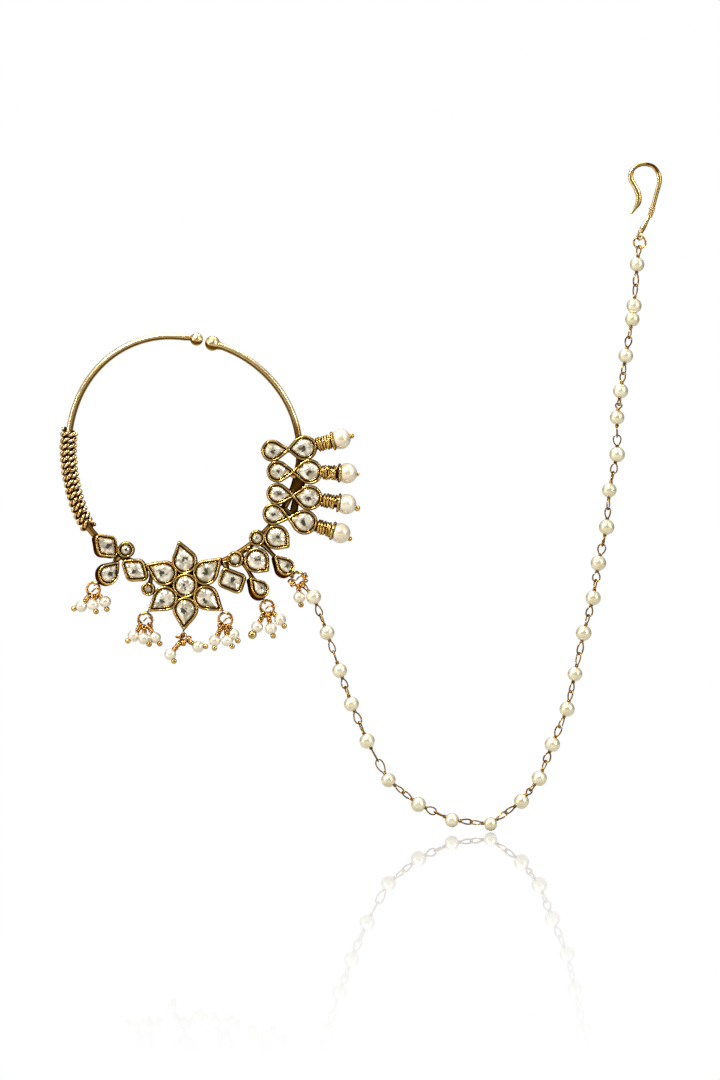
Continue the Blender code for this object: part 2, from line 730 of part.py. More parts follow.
def make_hook(hook_ring, gold):
    """Ring at the end of the chain, and the forged hook with its eye round that ring."""
    mesh = ring(hook_ring, HOOK_RING_RADIUS, HOOK_RING_WIRE, heading(0), UP)
    finished("hook_ring", mesh, gold)
    eye = hook_ring + UP * HOOK_RING_RADIUS
    stations = curve_through([Vector(row) for row in HOOK])
    points = [eye + Vector((across, 0, up)) * HOOK_HEIGHT for across, up, _ in stations]
    points.insert(0, eye + UP * HOOK_EYE_RADIUS)
    thicknesses = [stations[0].z * HOOK_WIRE] + [thickness * HOOK_WIRE for _, _, thickness in stations]
    eye_ring = ring(eye, HOOK_EYE_RADIUS, HOOK_EYE_WIRE, UP, TOWARDS_VIEWER)
    fused("hair_hook", [wire(points, thicknesses, sides=6), eye_ring], gold)


def build():
    clear_scene()
    gold = material("antique_gold", GOLD, 0.35, 1.0)
    rope_gold = material("rope_gold", DARK_GOLD, 0.45, 1.0)
    copper = material("copper_gold", COPPER_GOLD, 0.35, 1.0)
    cream = material("cream_pearl", PALE_PEARL, 0.25, 0.0)
    ivory = material("ivory_pearl", IVORY, 0.25, 0.0)
    glass = material("foiled_glass", GLASS_WHITE, 0.08, 0.0)
    hook_gold = material("hook_gold", GOLD, 0.4, 1.0)
    settings = flower_settings() + row_settings() + side_settings()
    by_name = {setting.name: setting for setting in settings}
    hangings = [Hanging(by_name[name], eye_at, ring_at) for name, eye_at, ring_at, _ in CLUSTERS]
    make_frame(settings, hangings, gold)
    for setting in settings:
        finished(setting.name, setting.stone(), glass)
    make_winding(rope_gold)
    make_drops(settings, gold, cream)
    for index, (hanging, cluster) in enumerate(zip(hangings, CLUSTERS), start=1):
        make_cluster(index, hanging, cluster[3], copper)
    hook_ring = make_chain(hangings[-1].ring, ivory)
    make_hook(hook_ring, hook_gold)


build()
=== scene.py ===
"""Finish of the bridal nath: rolled collets, foiled stones, twisted winding, wound collars, wired
pearls and a linked chain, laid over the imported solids. Metres, +Z up, the face looks along -Y."""

import bpy
import numpy as np
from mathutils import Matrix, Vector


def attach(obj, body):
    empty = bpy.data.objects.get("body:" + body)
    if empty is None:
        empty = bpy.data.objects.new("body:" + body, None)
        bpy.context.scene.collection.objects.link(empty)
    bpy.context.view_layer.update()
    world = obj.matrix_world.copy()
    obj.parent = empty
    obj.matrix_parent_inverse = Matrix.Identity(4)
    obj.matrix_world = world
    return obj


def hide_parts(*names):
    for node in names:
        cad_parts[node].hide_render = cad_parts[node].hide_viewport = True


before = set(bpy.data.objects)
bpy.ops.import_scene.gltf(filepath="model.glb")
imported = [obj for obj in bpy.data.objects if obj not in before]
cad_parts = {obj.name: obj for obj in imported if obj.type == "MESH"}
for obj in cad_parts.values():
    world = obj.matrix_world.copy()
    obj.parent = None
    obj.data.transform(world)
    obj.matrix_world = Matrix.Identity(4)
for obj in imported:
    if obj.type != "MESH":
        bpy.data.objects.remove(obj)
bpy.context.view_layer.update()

MM = 0.001

# Hoop, bent as in the part: out of round by two lobes and by three, sprung in at its ends, with a
# bulge. Its balls are a little fuller than the part's, and each sits on a neck.
HOOP_DIAMETER = 53.8 * MM
HOOP_WIRE = 1.5 * MM
HOOP_GAP = 0.6 * MM
LEFT_BALL = 2.95 * MM
RIGHT_BALL = 3.45 * MM
LEFT_NECK = 0.62
RIGHT_NECK = 1.5
NECK_START = 0.86
NECK_LENGTH = 1.5 * MM
HOOP_STEPS = 420
HOOP_CROWDING = 0.9
HOOP_FULLNESS = 1.04
OVAL = 0.010
OVAL_AT = -81.0
TRIANGLE = 0.0205
TRIANGLE_AT = 5.0
GAP_ANGLE = 78.7
ENDS_IN = 0.4 * MM
ENDS_SPREAD = 18.0
BULGE = 0.6 * MM
BULGE_AT = 217.0
BULGE_SPREAD = 14.0

# Where the hoop is left bright: from past the rows, over some degrees, up to the winding. Elsewhere,
# behind the settings, it is dimmed as painted shade, and the left ball's neck gets a painted shadow to
# a depth, at a share of the ball, over a spread.
BRIGHT_FROM = 12
BRIGHT_OVER = 8
BRIGHT_END = 4
SETTINGS_SHADE = 0.28
NECK_SHADOW = (0.9, 0.97, 0.22 * MM)

# Settings, as in the part but for the bars' width, and the softening of their corners.
SETTING_DEPTH = 2.4 * MM
POCKET_DEPTH = 1.3 * MM
STONE_CLEARANCE = 0.22 * MM
RIM = 0.72 * MM
FLARE = 0.26 * MM
SOLDER_LAP = 0.3 * MM
PITCH = 5.49 * MM
PLATE_THICKNESS = 0.5 * MM
BAR_WIDTH = 2.0 * MM
BAR_THICKNESS = 0.7 * MM
STRAP_WIDTH = 3.0 * MM
STRAP_OUT = 0.8 * MM
INNER_SOFTENING = 0.16 * MM
OUTER_SOFTENING = 0.24 * MM
SHARPENING = 0.55
OUTLINE_STEPS = 84
ARC_STEPS = 40
HAND_WANDER = 0.03 * MM

# A stone's crown: its facets, the shares of the outline where its half-way corners and its table lie,
# how high the half-way corners stand, and how far corners are nudged by hand.
FACETS = 11
HALF_WAY = (0.74, 0.82)
TABLE = (0.46, 0.54)
HALF_WAY_RISE = (0.55, 0.68)
NUDGE = 0.05 * MM

# Hanging wires, as in the part but for the jump rings' fuller wire.
EYE_RADIUS = 0.68 * MM
EYE_WIRE = 0.36 * MM
JUMP_RING_RADIUS = 1.6 * MM
JUMP_RING_WIRE = 0.60 * MM
HEADPIN_WIRE = 0.36 * MM
HEADPIN_LOOP = 0.55 * MM
CLUSTER_PEARL = 2.75 * MM
CLUSTER_BALL = 1.3 * MM
CLUSTER_REACH = 4.4 * MM
BALL_REACH = 1.75 * MM

# Drops, as in the part, and the fine wire wound into their collars.
COLLAR_LENGTH = 3.85 * MM
COLLAR_DIAMETER = 3.7 * MM
COLLAR_WIRE = 0.60 * MM
COLLAR_TURNS = 5
CUP_RADIUS = 1.93 * MM
CUP_SETBACK = 1.78 * MM
DROP_PIN = 0.6 * MM
DROP_PEARL = 4.7 * MM
DROP_PEARL_BACK = 0.085 * MM

# Strands that cross a collar's turns: from and to which swing, and from and to which share of its
# length. One collar has two of its own.
COLLAR_STRAND = ((-50, 60, 0.55, 0.95),)
TANGLED_COLLARS = {2: ((-60, 70, 0.10, 0.86), (50, -75, 0.30, 0.98))}

# The balls on the drops' ends: size, and how far back, out past the pearl and sideways each sits.
BALL_ENDS = (
    (1.2 * MM, 0.9 * MM, 0.30 * MM, -0.1 * MM),
    (0.9 * MM, 1.3 * MM, 0.05 * MM, 0.1 * MM),
    (1.45 * MM, 0.9 * MM, 0.25 * MM, 0.5 * MM),
    (1.2 * MM, 1.1 * MM, 0.05 * MM, 0.6 * MM),
)

# Winding, in the part's turns, the fuller size of its rope and the lay of its two strands.
ROPE = 1.3 * MM
ROPE_LAY = 2.9 * MM
WINDING_STEPS = 1100
WINDING_START = 168.2
WINDING_END = 220.4
WINDING_TURNS = 17

# Every pearl: its bore and the height of its dimpled pole as shares of its radius.
PEARL_BORE = 0.168
PEARL_DIMPLE = 0.985

# Chain and hook, in the part's places, with the fine wire of its loops and knots.
CHAIN_PEARL = 3.3 * MM
CHAIN_PEARL_SIZES = (1.01, 1.10)
LOWEST_PEARL_SIZE = 0.95
CHAIN_WIRE = 0.32 * MM
CHAIN_LOOP_WIRE = CHAIN_WIRE * 1.12
KNOT_WIRE = CHAIN_WIRE * 0.9
LOOP_WIDTH = 1.6 * MM
LOOP_WIDTHS = (0.85, 1.2)
LINK_CLEARANCE = 0.14 * MM
KNOT_LENGTH = 0.6 * MM
LOOP_TWIST = 35.0
HOOK_RING_RADIUS = 1.35 * MM
HOOK_RING_WIRE = 0.5 * MM
HOOK_EYE_RADIUS = 0.75 * MM
HOOK_EYE_WIRE = 0.5 * MM
HOOK_HEIGHT = 16.7 * MM
HOOK_WIRE = 1.05 * MM
HOOK_STEPS = 6
HOOK_RING_STEP = (0.6 * MM, 5.1 * MM)
HOOP_SIDE_PEARLS = 8

# The camera: the photo's pixel, its frame, and the point that it looks at squarely.
PIXEL = 0.23 * MM
FRAME_HEIGHT = 1080 * PIXEL
VIEW_ACROSS = 35.95 * MM
VIEW_UP = -45.84 * MM
LENS = 120.0
SENSOR = 36.0

# The floor: its height and reach, how strongly it mirrors below the part, how far in front of the part
# that has faded, and its grey for all but the camera.
FLOOR_HEIGHT = -112.9 * MM
FLOOR_REACH = 6.0
FLOOR_MIRROR = 0.5
FLOOR_FADE = 0.36
FLOOR_GREY = (0.40, 0.40, 0.40, 1)
WHITE = (1, 1, 1, 1)

# What the metal mirrors, as ramps from one strength to another: beside the part, over how squarely a
# ray runs from front to back; above it, over the ray's height; and in a narrow cone straight behind.
BESIDE = (0.1, 0.95, 0.34, 0.05)
ABOVE = (-0.4, 0.9, 0.20, 1.7)
BEHIND = (0.965, 0.98)

# Softboxes: place, size and power; all aim at one point and share one warm white.
SOFTBOXES = {
    "key": ((-0.20, -0.35, 0.40), (0.24, 0.11), 5.2),
    "fill": ((0.45, -0.30, 0.15), (0.06, 0.40), 1.4),
    "top": ((0.05, 0.12, 0.45), (0.45, 0.12), 1.8),
    "low": ((-0.42, -0.22, -0.05), (0.06, 0.40), 1.1),
}
SOFTBOX_AIM = (0.02, 0.0, -0.04)
SOFTBOX_COLOUR = (1.0, 0.95, 0.85)

# The clusters: setting, eye's heading, ring's heading, and each headpin's swing, reach, its ball's
# swing, its place in front, and the ball's size where it isn't the plain one.
CLUSTERS = (
    ("side_stone", 220, -117, ((-36, 1.09, -72, 0.0), (-1, 0.79, 24, 0.25), (44, 0.89, 12, 0.0))),
    ("petal_stone_5", -143, -96, ((-36, 1.03, -49, 0.0), (-3, 0.97, 42, 0.3), (29, 1.06, 38, 0.0))),
    ("petal_stone_4", -95, -86, ((-44, 1.02, 29, 0.0), (66, 0.81, 92, 0.0))),
    ("petal_stone_3", -38, -88, ((-27, 1.23, -2, 0.0), (5, 1.10, 41, 0.2), (28, 0.89, 35, -0.2))),
    ("leaf_stone_lower", -66, -63,
     ((-27, 1.15, -31, 0.0, 2.0 * MM), (10, 1.13, 18, 0.2), (46, 0.94, 34, 0.0))),
    ("leaf_stone_upper", -22, -70, ((4, 0.97, 13, 0.0),)),
)

# Each cluster's jump ring: how far it is turned from facing the viewer, its size as a share of the
# plain one, and how many spare loops hang on it.
RING_TURNS = (20, 0, 50, 12, 10, 25)
RING_SIZES = (1.0, 1.0, 0.62, 1.0, 1.0, 1.0)
KNOTS = (2, 3, 7, 5, 4, 8)
KNOT_SPREADS = (55, 55, 100, 60, 55, 150)

# The chain's route: the middle of each pearl, across and up from the last cluster's ring, in mm.
CHAIN_ROUTE = (
    (3.6, -4.2), (6.7, -12.4), (9.6, -21.1), (12.3, -28.8), (15.9, -37.3), (20.8, -46.3), (27.7, -51.9),
    (35.4, -55.5), (44.3, -56.4), (51.4, -51.2), (55.5, -45.9), (58.5, -38.1), (61.9, -30.0),
    (63.7, -21.9), (65.7, -12.5), (67.9, -4.4), (69.1, 3.6), (71.0, 11.9), (71.6, 20.4), (73.4, 28.6),
    (73.4, 37.1), (74.2, 43.2), (75.4, 51.3), (76.9, 59.7), (77.3, 62.8), (78.0, 72.3),
)

# The hook's shank: how many stations it has, and where, as shares of the hook's height, it slims and
# swells. Then the ends of the folded tail and the small knot on it, across and up.
SHANK_STATIONS = 30
SHANK_SWELLS = ((-0.34, 0.27, 0.07), (0.22, 0.11, 0.06))
TAIL_ENDS = ((0.150, 0.255), (0.188, 0.400))
TAIL_KNOT = (0.163, 0.372)

# The hook from its eye to its tip: across and up as shares of its height, thickness of its wire.
HOOK = (
    # across, up, thickness
    (0.035, 0.100, 1.00),
    (0.080, 0.185, 1.10),
    (0.130, 0.275, 1.15),
    (0.180, 0.400, 1.00),
    (0.237, 0.600, 0.97),
    (0.278, 0.760, 1.05),
    (0.262, 0.870, 1.05),
    (0.187, 0.970, 0.95),
    (0.070, 1.000, 0.85),
    (-0.030, 0.980, 0.92),
    (-0.108, 0.915, 1.05),
    (-0.125, 0.800, 1.15),
    (-0.072, 0.700, 1.20),
    (-0.020, 0.590, 1.25),
    (-0.020, 0.470, 1.25),
    (-0.070, 0.385, 0.75),
    (-0.122, 0.315, 0.48),
)

# Painted reflection across a wire at shares of its radius, as how bright it is painted: the hoop's from
# its inside to its outside, with a dark line inside the middle, and the hook's from its upper left to
# its lower right.
HOOP_REFLECTION_BANDS = ((-1, -0.9, -0.7, -0.4, -0.05, 1), (0.8, 0.4, 0.0, 0.12, 0.9, 1))
HOOK_REFLECTION_BANDS = ((-1, 0.1, 0.5, 0.75, 1), (1, 0.9, 0.1, 0.1, 0.8))

# Metals: the colour where one is painted bright, by rubbing and by painted highlight, its second tone,
# its patina, which also serves as painted shade, the width of a corner that holds patina, the strength
# of its dents, and its roughness where it is bright and where dirt, patina and painted shade darken it.
METALS = (
    ("antique_gold", (0.72, 0.51, 0.20), (0.46, 0.275, 0.05), (0.045, 0.013, 0.001),
     0.9 * MM, 0.14, 0.17, 0.42),
    ("pale_gold", (0.94, 0.78, 0.47), (0.80, 0.62, 0.31), (0.08, 0.030, 0.004),
     0.9 * MM, 0.04, 0.30, 0.40),
    ("rope_gold", (0.90, 0.70, 0.39), (0.62, 0.41, 0.16), (0.040, 0.008, 0.001),
     0.5 * MM, 0.08, 0.17, 0.42),
    ("drop_gold", (0.72, 0.51, 0.19), (0.44, 0.26, 0.05), (0.040, 0.012, 0.001),
     0.3 * MM, 0.05, 0.17, 0.42),
    ("cluster_copper_gold", (0.70, 0.41, 0.13), (0.48, 0.23, 0.04), (0.06, 0.016, 0.001),
     0.4 * MM, 0.06, 0.17, 0.42),
    ("hook_gold", (0.96, 0.77, 0.38), (0.80, 0.56, 0.19), (0.05, 0.014, 0.001),
     0.8 * MM, 0.03, 0.26, 0.40),
    ("chain_bronze", (0.36, 0.21, 0.045), (0.20, 0.10, 0.012), (0.04, 0.013, 0.001),
     0.3 * MM, 0.03, 0.17, 0.42),
)

# Pearls: the light and the shaded cloud, the warm patches, and how much the nacre mirrors.
PEARLS = (
    ("cream_pearl", (0.84, 0.78, 0.65), (0.76, 0.67, 0.52), (0.70, 0.56, 0.39), 0.55),
    ("pale_pearl", (0.90, 0.85, 0.73), (0.78, 0.72, 0.56), (0.70, 0.57, 0.37), 0.7),
    ("ivory_pearl", (0.89, 0.84, 0.66), (0.77, 0.71, 0.49), (0.66, 0.57, 0.34), 0.7),
)

# The foil under the stones: where it is pale, where it is smoky, the cloud in its middle, the flecks.
FOIL_PALE = (0.88, 0.84, 0.73)
FOIL_SMOKE = (0.40, 0.36, 0.27)
FOIL_CLOUD = (0.085, 0.07, 0.048)
FOIL_FLECK = (0.045, 0.035, 0.022)

# Section of a collet from the pocket's floor over the lip, the groove and the rolled rim to its back:
# share of the rim's width out from the stone, height as a share of the depth, and how bright it is
# painted: rubbing and painted highlight on the rim's top, painted shade in the pocket, in the groove
# and down the outer wall.
COLLET = (
    # out, height, painted brightness
    (0.14, 0.46, 0.0),
    (0.14, 0.84, 0.0),
    (0.05, 0.91, 0.1),
    (-0.10, 0.95, 0.5),
    (-0.09, 1.00, 0.85),
    (0.05, 1.015, 0.8),
    (0.17, 0.98, 0.25),
    (0.23, 0.90, 0.05),
    (0.37, 0.88, 0.05),
    (0.455, 0.94, 0.2),
    (0.54, 1.02, 0.5),
    (0.69, 1.08, 0.95),
    (0.88, 1.09, 1.0),
    (1.06, 1.05, 0.75),
    (1.20, 0.96, 0.45),
    (1.26, 0.84, 0.2),
    (1.24, 0.66, 0.05),
    (1.22, 0.40, 0.05),
    (1.30, 0.14, 0.15),
    (1.32, 0.03, 0.2),
    (1.15, 0.0, 0.2),
)

SETTING_BACK = HOOP_WIRE / 2 - SOLDER_LAP
HANG_DEPTH = np.array((0, -SETTING_BACK - SETTING_DEPTH / 2, 0))
TOWARDS_VIEWER = np.array((0.0, -1.0, 0.0))
UP = np.array((0.0, 0.0, 1.0))
ACROSS = np.array((1.0, 0.0, 0.0))
hand = np.random.default_rng(11)


def heading(degrees):
    """Unit vectors in the hoop's plane: cosine of the angle on X and its sine on Z."""
    turn = np.radians(degrees)
    return np.stack([np.cos(turn), np.zeros_like(turn), np.sin(turn)], axis=-1)


def unit(vectors):
    """Vectors divided by their lengths."""
    return vectors / np.linalg.norm(vectors, axis=-1, keepdims=True)


def full_turn(count):
    """Angles in even steps once round."""
    return 2 * np.pi * np.arange(count) / count


def circle(turn, first, second):
    """Unit vectors at angles: cosine on the first direction and sine on the second."""
    return np.cos(turn)[:, None] * first + np.sin(turn)[:, None] * second


def walked_along(path):
    """Distance along a path at each of its points: the sum of the steps so far."""
    return np.concatenate([[0], np.cumsum(np.linalg.norm(np.diff(path, axis=0), axis=1))])


def bell(values, middle, spread):
    """Bell curve: e to minus the square of the distance from the middle, in spreads."""
    return np.exp(-(((values - middle) / spread) ** 2))


def fading(degrees, middle, spread):
    """Bell curve: e to minus the square of the angle away from the middle, in spreads."""
    away = (degrees - middle + 180) % 360 - 180
    return bell(away, 0, spread)


def hoop_radius(degrees):
    """Radius times one plus a cosine of twice and of three times the angle, plus two bell curves."""
    lobes = OVAL * np.cos(2 * np.radians(degrees - OVAL_AT))
    lobes = lobes + TRIANGLE * np.cos(3 * np.radians(degrees - TRIANGLE_AT))
    bulge = BULGE * fading(degrees, BULGE_AT, BULGE_SPREAD)
    ends = ENDS_IN * fading(degrees, GAP_ANGLE, ENDS_SPREAD)
    return HOOP_DIAMETER / 2 * (1 + lobes) + (bulge - ends)


HOOP_CENTRE = -heading(GAP_ANGLE) * hoop_radius(GAP_ANGLE)


def hoop_points(degrees, out=0.0):
    """Points on the hoop's centre line, or a distance outside it, at each angle."""
    degrees = np.asarray(degrees, dtype=float)
    return HOOP_CENTRE + heading(degrees) * (hoop_radius(degrees) + out)[..., None]


def turned_by(length):
    """Degrees that a length along the hoop turns round its centre."""
    return np.degrees(length / (HOOP_DIAMETER / 2))


# Surfaces


class Surface:
    """Vertices, faces as rows of three or four indices, how bright each vertex is painted, by rubbing
    and by painted highlight and shade, and its place in a stone as a share of the stone's size, with a
    chance number for each stone."""

    def __init__(self, places, quads, triangles=(), rubbed_and_lit=1.0, local=0.0):
        self.places = np.asarray(places, dtype=float).reshape(-1, 3)
        self.quads = np.asarray(quads, dtype=int).reshape(-1, 4)
        self.triangles = np.asarray(triangles, dtype=int).reshape(-1, 3)
        self.rubbed_and_lit = np.broadcast_to(np.asarray(rubbed_and_lit, dtype=float), len(self.places)).copy()
        self.local = np.broadcast_to(np.asarray(local, dtype=float), self.places.shape).copy()
        self.face_out()

    def face_out(self):
        """Turns every face round where the volume, a sum of corner products, comes out negative."""
        halves = np.concatenate([self.quads[:, [0, 1, 2]], self.quads[:, [0, 2, 3]], self.triangles])
        a, b, c = (self.places[halves[:, corner]] for corner in range(3))
        if np.einsum("ij,ij->i", a, np.cross(b, c)).sum() < 0:
            self.quads = self.quads[:, ::-1]
            self.triangles = self.triangles[:, ::-1]


def closed_grid(points, ring=False, rubbed_and_lit=1.0):
    """Grid of rows and columns, its columns joined round. The rows join round too for a ring, and
    otherwise each end row closes on a pole at its mean."""
    rows, columns, _ = points.shape
    index = np.arange(rows * columns).reshape(rows, columns)
    after = np.roll(index, -1, axis=1)
    below, above = (index, np.roll(index, -1, axis=0)) if ring else (index[:-1], index[1:])
    below_after, above_after = (after, np.roll(after, -1, axis=0)) if ring else (after[:-1], after[1:])
    quads = np.stack([below, below_after, above_after, above], axis=-1).reshape(-1, 4)
    rubbed_and_lit = np.broadcast_to(np.asarray(rubbed_and_lit, dtype=float), (rows, columns))
    if ring:
        return Surface(points, quads, rubbed_and_lit=rubbed_and_lit.ravel())
    poles = np.stack([points[0].mean(0), points[-1].mean(0)])
    first = np.stack([np.full(columns, rows * columns), after[0], index[0]], axis=-1)
    last = np.stack([np.full(columns, rows * columns + 1), index[-1], after[-1]], axis=-1)
    places = np.concatenate([points.reshape(-1, 3), poles])
    shine = np.concatenate([rubbed_and_lit.ravel(), [rubbed_and_lit[0].mean(), rubbed_and_lit[-1].mean()]])
    return Surface(places, quads, np.concatenate([first, last]), shine)


def carried(path, across, width, depth=None, sides=10, ring=False, rubbed_and_lit=1.0):
    """Round section carried along a path: at each station a circle, or an ellipse where depth is
    given, square to the path, with its first axis on the across direction. How bright it is painted, by
    rubbing and by painted highlight and shade, can be a function of the unit vectors that point out of
    the path."""
    path = np.asarray(path, dtype=float)
    if ring:
        along = np.roll(path, -1, axis=0) - np.roll(path, 1, axis=0)
    else:
        along = np.gradient(path, axis=0)
    along = unit(along)
    first = np.broadcast_to(across, path.shape)
    first = unit(first - along * np.sum(first * along, axis=1, keepdims=True))
    second = np.cross(along, first)
    width = np.broadcast_to(width, len(path))[:, None, None] / 2
    depth = width if depth is None else np.broadcast_to(depth, len(path))[:, None, None] / 2
    turn = full_turn(sides)
    cosine, sine = np.cos(turn)[None, :, None], np.sin(turn)[None, :, None]
    first, second = first[:, None], second[:, None]
    if callable(rubbed_and_lit):
        rubbed_and_lit = rubbed_and_lit(first * cosine + second * sine)
    points = path[:, None] + first * (cosine * depth) + second * (sine * width)
    return closed_grid(points, ring, rubbed_and_lit)


def front_and_back(out):
    """Painted highlight where a wire faces the viewer or the wearer, painted shade along its two sides.
    """
    return np.clip(0.10 + 1.0 * np.abs(out @ TOWARDS_VIEWER), 0, 1)


def ring_of_wire(centre, radius, thickness, first, second, steps, sides):
    """Circle of wire round a centre, in the plane of two directions."""
    path = centre + circle(full_turn(steps), first, second) * radius
    across = np.cross(first, second)
    # Painted highlight on its front and back and painted shade on its sides.
    return carried(path, across, thickness, sides=sides, ring=True, rubbed_and_lit=front_and_back)


def turned(base, axis, stations, sides=32, rubbed_and_lit=1.0):
    """Profile of distances along an axis and radii there, turned a full circle round it."""
    stations = np.asarray(stations, dtype=float)
    first = unit(TOWARDS_VIEWER - axis * (axis @ TOWARDS_VIEWER))
    around = circle(full_turn(sides), first, np.cross(axis, first))
    points = base + stations[:, None, :1] * axis + stations[:, None, 1:2] * around
    return closed_grid(points, rubbed_and_lit=rubbed_and_lit)


def pearl(centre, diameter, axis, around=24, rows=13):
    """Ball that two slow sines shrink by up to a hundredth, with a dimple where the wire goes in at
    each pole."""
    lift = np.linspace(-np.pi / 2, np.pi / 2, rows + 2)[1:-1]
    radius = diameter / 2
    stations = np.stack([radius * np.sin(lift), radius * np.cos(lift)], axis=-1)
    stations[[0, -1], 1] = radius * PEARL_BORE
    stations[[0, -1], 0] *= PEARL_DIMPLE
    made = turned(centre, unit(axis), stations, sides=around)
    away = made.places - centre
    phase = hand.uniform(0, 2 * np.pi, 3)
    wander = np.sin(away @ np.array((1.7, 0.9, 1.3)) / radius + phase[0])
    wander += np.sin(away @ np.array((-0.8, 2.1, 1.1)) / radius + phase[1])
    made.places = centre + away * (1 - 0.006 * (1 + wander / 2))[:, None]
    return made


def gold_ball(centre, diameter, axis):
    """Small cast ball: half circle turned round its axis."""
    lift = np.linspace(-np.pi / 2, np.pi / 2, 13)[1:-1]
    stations = np.stack([np.sin(lift), np.cos(lift)], axis=-1) * diameter / 2
    return turned(centre, unit(axis), stations, sides=18)


def coil(base, axis, radius, wire, length, turns, steps_per_turn, sides, start):
    """Helix round an axis: the angle grows evenly, and so does the distance along the axis, with a
    small wander of both radius and place."""
    steps = int(turns * steps_per_turn)
    share = np.linspace(0, 1, steps + 1)
    turn = start + 2 * np.pi * turns * share
    first = unit(np.cross(axis, TOWARDS_VIEWER + 0.01 * UP))
    out = circle(turn, first, np.cross(axis, first))
    phase = hand.uniform(0, 2 * np.pi, 2)
    wander = 1 + 0.05 * np.sin(turn * 0.37 + phase[0])
    slide = 0.10 * wire * np.sin(turn * 0.61 + phase[1])
    path = base + axis * (length * share + slide)[:, None] + out * (radius * wander)[:, None]

    def by_side(way):
        """Painted highlight on the side away from the axis, painted shade between the turns."""
        return np.clip(0.30 + 0.9 * np.sum(way * out[:, None], axis=-1), 0, 1)

    return carried(path, out, wire, sides=sides, rubbed_and_lit=by_side)


def piece(name, surfaces, finish, replaces, flat=False):
    """One object from several surfaces, with its place in its mesh and riding on the part."""
    starts = np.cumsum([0] + [len(surface.places) for surface in surfaces])[:-1]
    quads = np.concatenate([surface.quads + start for surface, start in zip(surfaces, starts)])
    triangles = np.concatenate([surface.triangles + start for surface, start in zip(surfaces, starts)])
    places = np.concatenate([surface.places for surface in surfaces])
    mesh = bpy.data.meshes.new(name)
    mesh.vertices.add(len(places))
    mesh.vertices.foreach_set("co", places.astype(np.float32).ravel())
    corners = np.concatenate([quads.ravel(), triangles.ravel()]).astype(np.int32)
    mesh.loops.add(len(corners))
    mesh.loops.foreach_set("vertex_index", corners)
    begins = np.arange(len(quads)) * 4, 4 * len(quads) + np.arange(len(triangles)) * 3
    begins = np.concatenate(begins)
    mesh.polygons.add(len(begins))
    mesh.polygons.foreach_set("loop_start", begins.astype(np.int32))
    mesh.update(calc_edges=True)
    mesh.validate()
    # Each vertex keeps its painted brightness, from rubbing and from painted highlight and shade.
    for kept, kind, field in (("rubbed_and_lit", "FLOAT", "value"), ("local", "FLOAT_VECTOR", "vector")):
        values = np.concatenate([getattr(surface, kept) for surface in surfaces]).astype(np.float32)
        mesh.attributes.new(kept, kind, "POINT").data.foreach_set(field, values.ravel())
    if flat:
        mesh.shade_flat()
    else:
        mesh.shade_smooth()
    mesh.materials.append(finish)
    made = bpy.data.objects.new(name, mesh)
    bpy.context.scene.collection.objects.link(made)
    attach(made, "root")
    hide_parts(*replaces)


# Materials


class Nodes:
    """Short calls for a tree's nodes and the links between them."""

    def __init__(self, tree):
        self.tree = tree

    def join(self, source, target):
        self.tree.links.new(source, target)

    def add(self, kind, *values, **named):
        """Node of a kind. Its first inputs take the values in order, and others take theirs by name:
        a number or a colour is set there, and a socket is joined."""
        node = self.tree.nodes.new(f"ShaderNode{kind}")
        by_name = [(node.inputs[name], value) for name, value in named.items()]
        for socket, value in [*zip(node.inputs, values), *by_name]:
            if isinstance(value, bpy.types.NodeSocket):
                self.join(value, socket)
            else:
                socket.default_value = value
        return node

    def math(self, operation, first, second, clamp=False):
        """Sum, product or the like of two numbers, kept between none and one where it is clamped."""
        node = self.add("Math", first, second)
        node.operation = operation
        node.use_clamp = clamp
        return node.outputs[0]

    def ramp(self, value, low, high, at_low=0.0, at_high=1.0, interpolation="LINEAR"):
        """One number at a low value and another at a high one."""
        node = self.add("MapRange", value, low, high, at_low, at_high)
        node.interpolation_type = interpolation
        return node.outputs["Result"]

    def show(self, output, seen, lit):
        """Output with one shader for the camera's own rays and another for all that mirror or light."""
        camera_ray = self.add("LightPath").outputs["Is Camera Ray"]
        mixed = self.add("MixShader", camera_ray, lit.outputs[0], seen.outputs[0])
        self.add(output, mixed.outputs[0])


